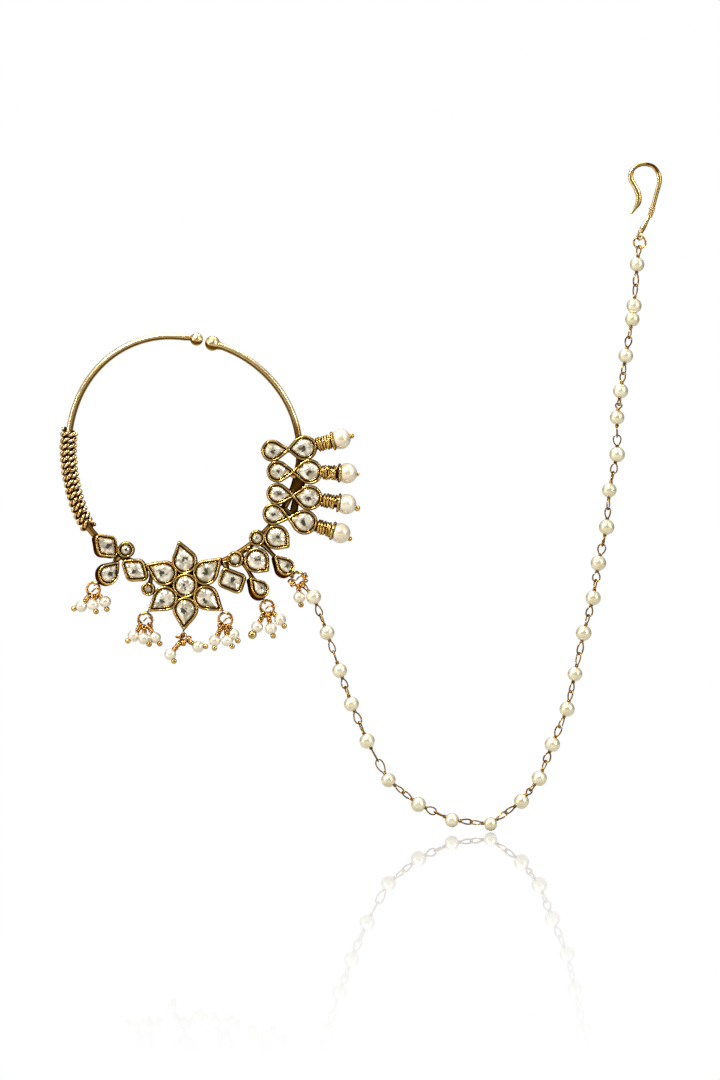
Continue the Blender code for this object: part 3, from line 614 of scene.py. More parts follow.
class Finish(Nodes):
    """Principled material whose patterns read the place in the piece."""

    def __init__(self, name, metallic, roughness):
        self.material = bpy.data.materials.new(name)
        self.material.use_nodes = True
        super().__init__(self.material.node_tree)
        self.shader = self.tree.nodes["Principled BSDF"]
        self.set("Metallic", metallic)
        self.set("Roughness", roughness)
        self.place = self.add("TexCoord").outputs["Object"]

    def set(self, name, value):
        self.shader.inputs[name].default_value = value

    def noise(self, size, detail=3.0, roughness=0.5):
        """Cloudy pattern whose patches are about a size across."""
        cloudy = {"Scale": 1 / size, "Detail": detail, "Roughness": roughness}
        return self.add("TexNoise", self.place, **cloudy).outputs["Fac"]

    def attribute(self, name, output="Fac"):
        node = self.add("Attribute")
        node.attribute_name = name
        return node.outputs[output]

    def crevice(self, distance):
        """One in the open, down to nothing in a corner narrower than the distance."""
        node = self.add("AmbientOcclusion", Distance=distance)
        node.samples = 12
        return node.outputs["AO"]

    def spread(self, value, low, high, at_low=0.0, at_high=1.0):
        """Smooth step between two numbers."""
        return self.ramp(value, low, high, at_low, at_high, "SMOOTHSTEP")

    def times(self, first, second):
        return self.math("MULTIPLY", first, second, clamp=True)

    def blend(self, share, first, second):
        """Colour between two, each a colour or a socket, at the mix node's colour inputs and output."""
        node = self.tree.nodes.new("ShaderNodeMix")
        node.data_type = "RGBA"
        self.join(share, node.inputs["Factor"])
        for socket, value in ((node.inputs[6], first), (node.inputs[7], second)):
            if isinstance(value, tuple):
                socket.default_value = (*value, 1)
            else:
                self.join(value, socket)
        return node.outputs[2]

    def bump(self, height, depth, strength):
        node = self.add("Bump", Strength=strength, Distance=depth, Height=height)
        self.join(node.outputs["Normal"], self.shader.inputs["Normal"])

    def colour(self, source):
        self.join(source, self.shader.inputs["Base Color"])


def worn_and_lit_metal(name, bright, tone, dark, crevice, dents, clean_roughness, dirty_roughness):
    """Metal in two tones, bright on its ridges from rubbing and from the painted highlight that the
    vertex attribute gives, with dark patina in its corners, painted shade where that attribute is low,
    and a brown between the two."""
    made = Finish(name, 1.0, 0.3)
    tones = made.blend(made.spread(made.noise(1.6 * MM), 0.35, 0.65), bright, tone)
    open_share = made.spread(made.crevice(crevice), 0.30, 0.88)
    grime = made.spread(made.noise(0.8 * MM, 3.0), 0.25, 0.60, 0.75, 1.0)
    # The vertex attribute paints highlight and shade on top of the rubbing on the ridges.
    worn_and_lit = made.spread(made.attribute("rubbed_and_lit"), 0.0, 0.85, 0.10, 1.0)
    clean_and_lit = made.times(made.times(open_share, grime), worn_and_lit)
    brown = (tone[0] * 0.55, tone[1] * 0.42, tone[2] * 0.22)
    # The dark and the brown are patina in the corners and painted shade where the vertex attribute is
    # low.
    stained_and_shaded = made.blend(made.spread(clean_and_lit, 0.0, 0.45), dark, brown)
    made.colour(made.blend(made.spread(clean_and_lit, 0.30, 0.95), stained_and_shaded, tones))
    made.set("Specular Tint", (*tone, 1))
    roughness = made.spread(clean_and_lit, 0.0, 1.0, dirty_roughness, clean_roughness)
    made.join(roughness, made.shader.inputs["Roughness"])
    made.bump(made.noise(0.7 * MM, 1.0, 0.5), 0.02 * MM, dents)
    return made.material


def foiled_glass():
    """Foil under a glassy coat: pale and smoky, with a dark cloud near the middle and a few flecks."""
    made = Finish("foiled_glass", 0.5, 0.15)
    flat = made.add("VectorMath", made.attribute("local", "Vector"), (1, 1, 0))
    flat.operation = "MULTIPLY"
    size = made.add("VectorMath", flat.outputs["Vector"])
    size.operation = "LENGTH"
    near_heart = made.spread(size.outputs["Value"], 0.05, 0.80, 1.0, 0.0)
    cloud = made.math("ADD", made.times(near_heart, 0.52), made.noise(0.75 * MM, 3.0, 0.6), clamp=True)
    dark = made.spread(cloud, 0.87, 0.95)
    flecks = made.spread(made.noise(0.42 * MM, 2.0), 0.62, 0.72)
    flecks = made.times(flecks, made.spread(near_heart, 0.15, 0.6))
    smoke = made.spread(made.noise(1.5 * MM, 2.0), 0.40, 0.64)
    foil = made.blend(dark, made.blend(smoke, FOIL_PALE, FOIL_SMOKE), FOIL_CLOUD)
    made.colour(made.blend(flecks, foil, FOIL_FLECK))
    made.bump(made.noise(0.7 * MM, 2.0), 0.10 * MM, 0.3)
    made.set("Coat Weight", 1.0)
    made.set("Coat Roughness", 0.03)
    return made.material


def nacre(name, light, shade, warm, mirror):
    """Pearl lustre: a body that mirrors a little, with slow warm clouds, under a thin clear coat."""
    made = Finish(name, mirror, 0.34)
    clouds = made.blend(made.spread(made.noise(2.6 * MM, 1.0), 0.3, 0.7), light, shade)
    warmth = made.spread(made.noise(2.0 * MM, 1.0), 0.45, 0.75, 0.0, 0.4)
    made.colour(made.blend(warmth, clouds, warm))
    made.bump(made.noise(1.4 * MM, 1.0), 0.02 * MM, 0.06)
    made.set("Coat Weight", 0.8)
    made.set("Coat Roughness", 0.12)
    return made.material


# Settings and stones


def solid_of(node):
    """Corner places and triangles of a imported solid."""
    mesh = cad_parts[node].data
    places = np.empty(3 * len(mesh.vertices), dtype=np.float32)
    mesh.vertices.foreach_get("co", places)
    mesh.calc_loop_triangles()
    triangles = np.empty(3 * len(mesh.loop_triangles), dtype=np.int32)
    mesh.loop_triangles.foreach_get("vertices", triangles)
    return places.reshape(-1, 3).astype(float), triangles.reshape(-1, 3)


def grown(outline, distance):
    """Outline with each side moved out: every corner goes out along the mean of its two sides'
    normals, over one plus their product."""
    side = outline - np.roll(outline, 1)
    normal = -1j * side / np.abs(side)
    after = np.roll(normal, -1)
    product = (normal * after.conj()).real
    return outline + (normal + after) * distance / (1 + product)


def softened(outline, spread, count=OUTLINE_STEPS, by=None):
    """Outline walked in even steps, with its waves damped by a bell curve of their number: the
    shorter the wave against the spread, the less is left of it."""
    by = outline if by is None else by
    closed = np.append(by, by[0])
    walked = np.concatenate([[0], np.cumsum(np.abs(np.diff(closed)))])
    at = np.arange(count) / count * walked[-1]
    corners = np.append(outline, outline[0])
    even = np.interp(at, walked, corners.real) + 1j * np.interp(at, walked, corners.imag)
    waves = np.fft.fft(even)
    number = np.fft.fftfreq(count, 1 / count)
    return np.fft.ifft(waves * np.exp(-((2 * np.pi * number * spread / walked[-1]) ** 2) / 2))


def sharpened(outline):
    """Outline with cut corners, whose two points each move towards the corner that was cut off, where
    the long sides next to it would meet."""
    side = np.roll(outline, -1) - outline
    first = int(np.argmin(np.abs(side)))
    outline = np.roll(outline, -first)
    start, end = outline[0::2], outline[1::2]
    before = start - np.roll(end, 1)
    after = np.roll(start, -1) - end
    share = ((end - start) * after.conj()).imag / (before * after.conj()).imag
    corner = start + before * share
    made = np.empty_like(outline)
    made[0::2] = start + (corner - start) * SHARPENING
    made[1::2] = end + (corner - end) * SHARPENING
    return made


def rounded(outline):
    """Outline on its true circle: even steps round it, and, where a corner stands out past the
    circle, that corner with the arc between the two lines from it that touch the circle."""
    reach = np.abs(outline)
    radius = np.median(reach)
    tip = reach.argmax()
    if reach[tip] < radius * 1.1:
        return radius * np.exp(1j * full_turn(ARC_STEPS))
    touch = np.arccos(radius / reach[tip])
    arc = np.angle(outline[tip]) + np.linspace(touch, 2 * np.pi - touch, ARC_STEPS)
    return np.concatenate([[outline[tip]], radius * np.exp(1j * arc)])


class Seat:
    """Where a stone sits, read from its solid: the flat back gives its outline and its facing."""

    def __init__(self, node):
        self.node = node
        places, triangles = solid_of(node)
        a, b, c = (places[triangles[:, corner]] for corner in range(3))
        normal = np.cross(b - a, c - a)
        area = np.linalg.norm(normal, axis=1)
        normal = unit(normal)
        back_normal = normal[((normal @ normal.T > 0.999) @ area).argmax()]
        self.face = -back_normal
        corners = np.unique(places.round(7), axis=0)
        height = corners @ self.face
        layers = np.unique(height.round(5))
        self.back = height.min()
        self.girdle = layers[len(layers) // 2] - self.back
        self.table = height.max() - self.back
        outline = corners[height < self.back + 0.1 * MM]
        self.first = unit(np.cross(self.face, np.array((0.31, 0.0, 0.95))))
        self.second = np.cross(self.face, self.first)
        flat = outline @ self.first + 1j * (outline @ self.second)
        flat = flat[np.argsort(np.angle(flat - flat.mean()))]
        self.centre = self.round_middle(flat)
        self.wall = grown(flat - self.centre, RIM + FLARE / 2)
        self.outline = sharpened(flat - self.centre) if self.is_square else rounded(flat - self.centre)

    @property
    def is_square(self):
        return "lozenge" in self.node or "cushion" in self.node

    def round_middle(self, flat):
        """Centre of the circle through all corners but the one that stands furthest out, or the
        mean where the corners lie evenly round it."""
        reach = np.abs(flat - flat.mean())
        if self.is_square:
            return flat.mean()
        on_arc = np.delete(flat, reach.argmax())
        terms = np.stack([2 * on_arc.real, 2 * on_arc.imag, np.ones(len(on_arc))], axis=1)
        across, up, _ = np.linalg.lstsq(terms, np.abs(on_arc) ** 2, rcond=None)[0]
        return complex(across, up)

    def lifted(self, outline, height):
        """World places of flat outline points at a height over the stone's back."""
        flat = outline + self.centre
        flat_places = flat.real[..., None] * self.first + flat.imag[..., None] * self.second
        return flat_places + self.face * (self.back + height)[..., None]

    @property
    def floor(self):
        """Height of the setting's back, counted from the stone's."""
        return -(SETTING_DEPTH - POCKET_DEPTH + STONE_CLEARANCE)

    @property
    def middle(self):
        """Middle of the round end, half way through the setting's depth."""
        height = np.array(self.floor + SETTING_DEPTH / 2)
        return self.lifted(np.array(0j), height) * np.array((1, 0, 1))

    def edge(self, degrees):
        """Point on the unleaned outer wall at a heading from the middle."""
        upright = self.wall.real[:, None] * self.turned_flat(self.first)
        upright = upright + self.wall.imag[:, None] * self.turned_flat(self.second)
        way = heading(degrees)
        return self.middle + way * (upright @ way).max()

    def turned_flat(self, vector):
        """Vector turned by the shortest way that turns the face towards the viewer."""
        axis = np.cross(self.face, TOWARDS_VIEWER)
        cosine = self.face @ TOWARDS_VIEWER
        return vector + np.cross(axis, vector) + np.cross(axis, np.cross(axis, vector)) / (1 + cosine)


def collet(seat):
    """Section table carried round the stone: each row lies between the stone's outline and the
    outer wall by its share, and wanders by two slow waves and a quicker one."""
    share, level, rubbed_and_lit = np.array(COLLET).T[:, :, None]
    inner = softened(seat.outline, INNER_SOFTENING)
    outer = softened(grown(seat.outline, RIM), OUTER_SOFTENING, by=seat.outline)
    flat = inner * (1 - share) + outer * share
    turn = full_turn(OUTLINE_STEPS)
    phase = hand.uniform(0, 2 * np.pi, 3)
    waves = np.sin(2 * turn + phase[0]) + np.sin(3 * turn + phase[1])
    waves = waves + 0.6 * np.sin(7 * turn + phase[2])
    unit_out = (outer - inner) / np.abs(outer - inner)
    flat = flat + unit_out * waves * HAND_WANDER * np.clip(share, 0, 1) * 0.8
    height = seat.floor + level * SETTING_DEPTH + waves * HAND_WANDER * level**4
    points = seat.lifted(flat, np.broadcast_to(height, flat.shape))
    # Painted brightness per row: rubbing and painted highlight on the rim, painted shade below it,
    # varied by the waves.
    return closed_grid(points, rubbed_and_lit=rubbed_and_lit * np.clip(0.86 + 0.12 * waves, 0.4, 1))


def cut_stone(seat):
    """Rose-cut crown: a girdle of twice as many corners as facets, a ring of half-way corners, and
    a table. The corners shrink towards the outline's mean and are nudged by hand."""
    facets = FACETS
    girdle = softened(seat.outline, INNER_SOFTENING, 2 * facets)
    heart = girdle.mean()
    size = np.sqrt(np.abs(girdle - heart).mean() / (2 * MM))
    nudge = NUDGE * size
    half_way = heart + (np.roll(girdle, -1)[::2] - heart) * hand.uniform(*HALF_WAY, facets)
    table = heart + (girdle[::2] - heart) * hand.uniform(*TABLE, facets)
    table = table + nudge * (hand.normal(size=facets) + 1j * hand.normal(size=facets)) * 0.6
    rise = seat.table - seat.girdle
    levels = (
        (girdle, np.zeros(2 * facets)),
        (girdle, np.full(2 * facets, seat.girdle)),
        (half_way, seat.girdle + rise * hand.uniform(*HALF_WAY_RISE, facets)),
        (table, np.full(facets, seat.table)),
        (np.array([heart]), np.array([seat.table])),
        (np.array([heart]), np.array([0.0])),
    )
    places = np.concatenate([seat.lifted(flat, height) for flat, height in levels])
    starts = np.cumsum([0] + [len(flat) for flat, _ in levels])
    around = np.arange(2 * facets)
    back = starts[0] + around
    belt = starts[1] + around
    quads = np.stack([back, np.roll(back, -1), np.roll(belt, -1), belt], axis=1)
    even = belt[::2]
    odd = belt[1::2]
    next_even = np.roll(even, -1)
    middle_ring = starts[2] + np.arange(facets)
    top = starts[3] + np.arange(facets)
    next_top = np.roll(top, -1)
    fans = (
        (even, odd, middle_ring),
        (odd, next_even, middle_ring),
        (even, middle_ring, top),
        (middle_ring, next_even, next_top),
        (top, middle_ring, next_top),
        (top, next_top, np.full(facets, starts[4])),
        (np.roll(back, -1), back, np.full(2 * facets, starts[5])),
    )
    triangles = np.concatenate([np.stack(fan, axis=1) for fan in fans])
    off_heart = np.concatenate([flat for flat, _ in levels]) - heart
    off_heart = off_heart / np.abs(girdle - heart).mean()
    off_heart = off_heart + hand.normal(scale=0.12) + 1j * hand.normal(scale=0.12)
    serial = np.full(len(places), hand.uniform(0, 9))
    local = np.stack([off_heart.real, off_heart.imag, serial], axis=1)
    return Surface(places, quads, triangles, local=local)


# Frame


def hoop():
    """Wire along the hoop whose width grows at each end into a ball: the circle's chord there, and
    a neck that thins on the left and a cone on the right."""
    left = GAP_ANGLE + turned_by(HOOP_GAP / 2)
    right = GAP_ANGLE + 360 - turned_by(HOOP_GAP / 2)
    share = np.linspace(0, 1, HOOP_STEPS)
    eased = share - HOOP_CROWDING * np.sin(2 * np.pi * share) / (2 * np.pi)
    angles = left + (right - left) * eased
    path = hoop_points(angles)
    walked = walked_along(path)
    to_end = walked[-1] - walked
    width = np.full(len(path), HOOP_WIRE * HOOP_FULLNESS)
    for distance, ball, neck in ((walked, LEFT_BALL, LEFT_NECK), (to_end, RIGHT_BALL, RIGHT_NECK)):
        chord = 2 * np.sqrt(np.clip(distance * (ball - distance), 0, None))
        past = np.clip((distance - ball * NECK_START) / NECK_LENGTH, 0, 1)
        stem = HOOP_WIRE * (neck + (1 - neck) * past**0.7)
        near = distance < ball * NECK_START + NECK_LENGTH
        width = np.where(near, np.maximum(chord, np.where(distance > ball / 2, stem, 0.0)), width)
    width = np.maximum(width, 0.02 * MM)
    past_rows = np.clip((angles % 360 - BRIGHT_FROM) / BRIGHT_OVER, 0, 1)
    free = past_rows * np.clip((WINDING_START + BRIGHT_END - angles % 360) / BRIGHT_END, 0, 1)
    depth, at, spread = NECK_SHADOW
    radial = heading(angles)[:, None]
    # Painted shade behind the settings and a painted shadow at the left ball's neck.
    bright = (SETTINGS_SHADE + (1 - SETTINGS_SHADE) * free) * (1 - depth * bell(walked, LEFT_BALL * at, spread))

    def by_side(out):
        """Painted reflection: bright outside, a dark line inside the middle and a paler inner edge."""
        across = np.sum(out * radial, axis=-1)
        return bright[:, None] * np.interp(across, *HOOP_REFLECTION_BANDS)

    return carried(path, TOWARDS_VIEWER, width, sides=28, rubbed_and_lit=by_side)


def needs_bar(seat):
    """Whether the hoop's wire passes clear of the setting."""
    away = seat.middle - HOOP_CENTRE
    at = np.degrees(np.arctan2(away[2], away[0]))
    return abs(np.linalg.norm(away) - hoop_radius(at)) > PITCH / 3


def solder_bar(seat):
    """Flat strip behind a setting, from the hoop's wire to the setting's middle, a little narrower
    half way."""
    away = seat.middle - HOOP_CENTRE
    at = np.degrees(np.arctan2(away[2], away[0]))
    behind = TOWARDS_VIEWER * (SETTING_BACK + BAR_THICKNESS / 4)
    ends = hoop_points(at) + behind, seat.middle + behind
    share = np.linspace(0, 1, 12)
    path = ends[0] + (ends[1] - ends[0]) * share[:, None]
    width = BAR_WIDTH * (0.75 + 0.25 * np.cos(2 * np.pi * share))
    return carried(path, TOWARDS_VIEWER, width, BAR_THICKNESS, sides=14, rubbed_and_lit=0.9)


def row_straps(seats):
    """Two straps outside the hoop, ellipses carried along it: one behind the crossings of the first
    three rows, and a narrow one that goes on and drifts out behind the fourth row."""
    crossings = []
    for row in (1, 3, 4):
        pair = (seats[f"row_stone_{side}_{row}"].middle for side in ("outer", "inner"))
        middle = sum(pair) / 2 - HOOP_CENTRE
        crossings.append(np.degrees(np.arctan2(middle[2], middle[0])))
    share = np.linspace(0, 1, 40)
    behind = TOWARDS_VIEWER * (SETTING_BACK + BAR_THICKNESS / 4)
    made = []
    for first, last, out, drift, width in (
        (crossings[0], crossings[1], STRAP_OUT, 0.0, STRAP_WIDTH),
        (crossings[1], crossings[2] - 1, STRAP_OUT * 1.6, 1.9 * MM, STRAP_WIDTH * 0.55),
    ):
        angles = first + (last - first) * share
        path = hoop_points(angles, out + drift * share) + behind
        widths = width * (1 - 0.12 * np.cos(2 * np.pi * share))
        # The straps are painted dark, as painted shade behind the rows.
        made.append(carried(path, TOWARDS_VIEWER, widths, BAR_THICKNESS, sides=16, rubbed_and_lit=0.22))
    return made


def back_plate(seat):
    """Round plate behind the flower, with a rolled edge."""
    low = SETTING_BACK - SOLDER_LAP / 3
    edge = PITCH * 0.985
    high = low + PLATE_THICKNESS
    cut = 0.1 * MM
    stations = np.array((
        (low, edge * 0.9), (low, edge - cut), (low + cut, edge),
        (high - cut, edge), (high, edge - cut), (high, edge * 0.9),
    ))
    around = circle(full_turn(64), ACROSS, UP)
    points = seat.middle + stations[:, None, :1] * TOWARDS_VIEWER + stations[:, None, 1:2] * around
    # The plate is painted dark, as painted shade behind the flower.
    return closed_grid(points, rubbed_and_lit=0.25)


def hanging_places(seats):
    """For each cluster: the eye's way out, the eye's middle and the jump ring's middle."""
    made = []
    for name, eye_at, ring_at, _ in CLUSTERS:
        out = heading(eye_at)
        eye = seats[name].edge(eye_at) + out * (EYE_RADIUS - EYE_WIRE / 4) + HANG_DEPTH
        made.append((out, eye, eye + heading(ring_at) * JUMP_RING_RADIUS))
    return made


def winding():
    """Two strands that turn round each other half a turn apart, while their common line is a helix
    round the hoop's wire."""
    share = np.linspace(0, 1 - 0.5 / WINDING_TURNS, WINDING_STEPS)
    at = WINDING_START + (WINDING_END - WINDING_START) * share
    turn = 2 * np.pi * WINDING_TURNS * share
    wander = 1 + 0.022 * np.sin(turn * 0.43) + 0.014 * np.sin(turn * 1.31 + 1.0)
    reach = (HOOP_WIRE / 2 + 0.03 * MM + ROPE / 2) * wander * 0.96
    out = heading(at) * np.cos(turn)[:, None] - TOWARDS_VIEWER * np.sin(turn)[:, None]
    slip = 0.5 * turned_by(0.12 * MM) * np.sin(turn * 0.5 + 0.7)
    line = hoop_points(at + slip) + out * reach[:, None]
    along = unit(np.gradient(line, axis=0))
    side = np.cross(along, out)
    walked = walked_along(line)
    made = []
    for strand in (0, np.pi):
        lay = 2 * np.pi * walked / ROPE_LAY + strand
        offset = out * np.cos(lay)[:, None] - side * np.sin(lay)[:, None]
        # Painted highlight on each strand's crest and painted shade in the grooves between the strands.
        crest_highlight = np.clip(0.30 + 0.95 * np.cos(lay), 0, 1)[:, None]
        made.append(carried(line + offset * ROPE / 4, offset, ROPE * 0.52, sides=10, rubbed_and_lit=crest_highlight))
    return made


# Drops and clusters


def drop_axis(index):
    """Middle of a drop's pearl, and the way from the collet out through it, from the two solids."""
    bead = np.unique(solid_of(f"drop_pearl_{index}")[0].round(7), axis=0)
    stem = np.unique(solid_of(f"drop_wire_{index}")[0].round(7), axis=0)
    middle = bead.mean(0)
    axis = np.linalg.svd(stem - stem.mean(0))[2][0]
    axis = axis * np.sign(axis @ (middle - HOOP_CENTRE))
    return middle, axis, middle + axis * ((stem - middle) @ axis).min()


def collar(base, middle, axis, index):
    """Core with fine wire wound round it: even turns, a wider last one that cups the pearl, and
    strands that cross them."""
    core = COLLAR_DIAMETER / 2 - COLLAR_WIRE
    wound = (COLLAR_DIAMETER - COLLAR_WIRE) / 2
    stations = ((-0.6 * MM, core * 0.7), (0.1 * MM, core), (COLLAR_LENGTH * 0.92, core))
    # The core is painted dark, as painted shade between the turns.
    made = [turned(base, axis, stations, rubbed_and_lit=0.1)]
    length = COLLAR_LENGTH * 0.86
    start = base - axis * COLLAR_WIRE * 0.2
    made.append(coil(start, axis, wound * 0.92, COLLAR_WIRE, length, COLLAR_TURNS, 28, 8, 1.7 * index))
    cup = middle - axis * CUP_SETBACK
    tilt = unit(axis + 0.10 * np.sin(index * 2.1) * TOWARDS_VIEWER)
    first = unit(np.cross(tilt, UP))
    second = np.cross(tilt, first)
    made.append(ring_of_wire(cup, CUP_RADIUS, COLLAR_WIRE, first, second, steps=48, sides=9))
    sideways = unit(np.cross(axis, TOWARDS_VIEWER))
    share = np.linspace(0, 1, 40)[:, None]
    for begin, finish, low, high in TANGLED_COLLARS.get(index, COLLAR_STRAND):
        swing = np.radians(begin + (finish - begin) * share) * (-1) ** index
        out = TOWARDS_VIEWER * np.cos(swing) + sideways * np.sin(swing)
        path = base + axis * (COLLAR_LENGTH * (low + (high - low) * share))
        path = path + out * (wound + COLLAR_WIRE * 0.25)
        made.append(carried(path, out, COLLAR_WIRE * 0.85, sides=8))
    return made


def headpin(ring, hub, radius, swing, reach, ball_swing, forward, ball=CLUSTER_BALL):
    """Wires, pearl and ball of one headpin: a loop round the jump ring, a wrapped neck, a pin through
    the pearl and the ball on its end."""
    down = heading(swing - 90)
    place = ring + down * reach * CLUSTER_REACH + TOWARDS_VIEWER * forward * CLUSTER_PEARL
    way = unit(place - hub)
    loop = hub + way * (radius + HEADPIN_LOOP * 0.30)
    top = place - way * CLUSTER_PEARL * 0.46
    neck = hub + way * (radius + JUMP_RING_WIRE * 0.35)
    last = place + heading(ball_swing - 90) * (BALL_REACH + (ball - CLUSTER_BALL) / 2)
    side = unit(np.cross(way, TOWARDS_VIEWER))
    length = max(np.linalg.norm(top - neck), 0.3 * MM)
    tilt = unit(TOWARDS_VIEWER + side * hand.uniform(-0.9, 0.9))
    turns = max(2.0, length / HEADPIN_WIRE * 0.9)
    core = neck + (top - neck) * np.linspace(-0.3, 1, 6)[:, None]
    pin = place + (last - place) * np.linspace(0.5, 1, 5)[:, None]
    wires = [
        ring_of_wire(loop, HEADPIN_LOOP, HEADPIN_WIRE, way, tilt, 26, 8),
        coil(neck, way, HEADPIN_WIRE * 1.25, HEADPIN_WIRE, length, turns, 16, 8, hand.uniform(0, 6)),
        # The core is painted dark, as painted shade inside the wrapped neck.
        carried(core, side, HEADPIN_WIRE * 1.7, sides=10, rubbed_and_lit=0.2),
        carried(pin, TOWARDS_VIEWER, HEADPIN_WIRE, sides=8),
    ]
    below = unit(last - place)
    return wires, pearl(place, CLUSTER_PEARL, way + below), gold_ball(last, ball, below)


def knots(hub, radius, count, spread):
    """Spare loops of the pins' wire, caught round the foot of the jump ring at chance tilts, and one
    bent strand that crosses the ring's opening on a sine."""
    made = []
    for swing in hand.uniform(-spread, spread, count):
        way = heading(swing - 90)
        side = unit(np.cross(way, TOWARDS_VIEWER))
        tilt = unit(TOWARDS_VIEWER * hand.uniform(0.4, 1.0) + side * hand.uniform(-1.0, 1.0))
        place = hub + way * (radius + 0.12 * MM)
        size = HEADPIN_LOOP * hand.uniform(0.9, 1.25)
        made.append(ring_of_wire(place, size, HEADPIN_WIRE, way, tilt, 26, 8))
    share = np.linspace(-1, 1, 24)[:, None]
    reach = radius * 0.92
    bent = 0.35 * reach * np.sin(np.pi * share)
    forward = TOWARDS_VIEWER * 0.25 * MM
    path = hub + ACROSS * share * reach + UP * (bent + hand.uniform(-0.2, 0.3) * reach) + forward
    made.append(carried(path, TOWARDS_VIEWER, HEADPIN_WIRE, sides=8))
    return made


# Chain and hook


def oval_loop(start, way, length, width, twist):
    """Tear-shaped loop: half a cosine along its way and a sine across it, fuller at its far end."""
    flat = unit(np.cross(way, TOWARDS_VIEWER))
    side = flat * np.cos(np.radians(twist)) + TOWARDS_VIEWER * np.sin(np.radians(twist))
    turn = full_turn(30)
    along = (1 - np.cos(turn)) / 2
    across = np.sin(turn) * (0.72 + 0.4 * along)
    path = start + way * (along * length)[:, None] + side * (across * width / 2)[:, None]
    return carried(path, np.cross(way, side), CHAIN_LOOP_WIRE, sides=6, ring=True)


def wired(pearl_middle, way, reach, twist, width=LOOP_WIDTH):
    """Knot at a pearl's skin and the loop beyond it that ends at a reach from the pearl's middle."""
    skin = pearl_middle + way * (CHAIN_PEARL / 2 - 0.08 * MM)
    loop_start = skin + way * KNOT_LENGTH * 0.8
    length = reach - np.linalg.norm(loop_start - pearl_middle)
    knot = coil(skin, way, CHAIN_WIRE * 0.95, KNOT_WIRE, KNOT_LENGTH, 2.5, 12, 6, hand.uniform(0, 6))
    stem = skin + way * KNOT_LENGTH * np.linspace(-0.4, 1, 4)[:, None]
    core = carried(stem, TOWARDS_VIEWER, CHAIN_WIRE, sides=6)
    return [knot, core, oval_loop(loop_start, way, length, width, twist)]


def chain(pearls, ring, hook_ring):
    """Pearls and wires of the two lengths. Two loops meet half way between neighbours and catch each
    other by a wire's thickness and a clearance."""
    lap = (CHAIN_WIRE + LINK_CLEARANCE) / 2
    sizes = CHAIN_PEARL * hand.uniform(*CHAIN_PEARL_SIZES, len(pearls))
    sizes[pearls[:, 2].argmin()] = CHAIN_PEARL * LOWEST_PEARL_SIZE
    beads = [pearl(*row) for row in zip(pearls, sizes, np.gradient(pearls, axis=0))]
    wires = [[] for _ in pearls]
    for index, (start, end) in enumerate(zip(pearls, pearls[1:])):
        way = unit(end - start)
        apart = np.linalg.norm(end - start)
        if apart < CHAIN_PEARL + 2.5 * KNOT_LENGTH:
            path = start + (end - start) * np.linspace(0.3, 0.7, 4)[:, None]
            wires[index].append(carried(path, TOWARDS_VIEWER, CHAIN_WIRE, sides=6))
            continue
        twist = LOOP_TWIST if index == HOOP_SIDE_PEARLS - 1 else hand.uniform(0, 90)
        wide = LOOP_WIDTH * hand.uniform(*LOOP_WIDTHS, 2)
        wires[index] += wired(start, way, apart / 2 + lap, twist, wide[0])
        wires[index + 1] += wired(end, -way, apart / 2 + lap, 90 - twist, wide[1])
    hoop_catch = JUMP_RING_RADIUS - (JUMP_RING_WIRE + CHAIN_WIRE) / 2 - LINK_CLEARANCE
    hook_catch = HOOK_RING_RADIUS - (HOOK_RING_WIRE + CHAIN_WIRE) / 2 - LINK_CLEARANCE
    for index, target, catch in ((0, ring, hoop_catch), (-1, hook_ring, hook_catch)):
        way = target - pearls[index]
        wires[index] += wired(pearls[index], unit(way), np.linalg.norm(way) - catch, 55)
    return beads, wires


def smooth_through(stations):
    """Catmull-Rom curve: between two stations a cubic whose slopes are half the step between their
    neighbours."""
    padded = np.concatenate([stations[:1], stations, stations[-1:]])
    before, start, end, after = (padded[i:len(padded) - 3 + i][:, None] for i in range(4))
    share = (np.arange(HOOK_STEPS) / HOOK_STEPS)[None, :, None]
    bend = (2 * before - 5 * start + 4 * end - after) * share**2
    bend = bend + (3 * start - before - 3 * end + after) * share**3
    curve = start + (end - before) * share / 2 + bend / 2
    return np.concatenate([curve.reshape(-1, stations.shape[1]), stations[-1:]])


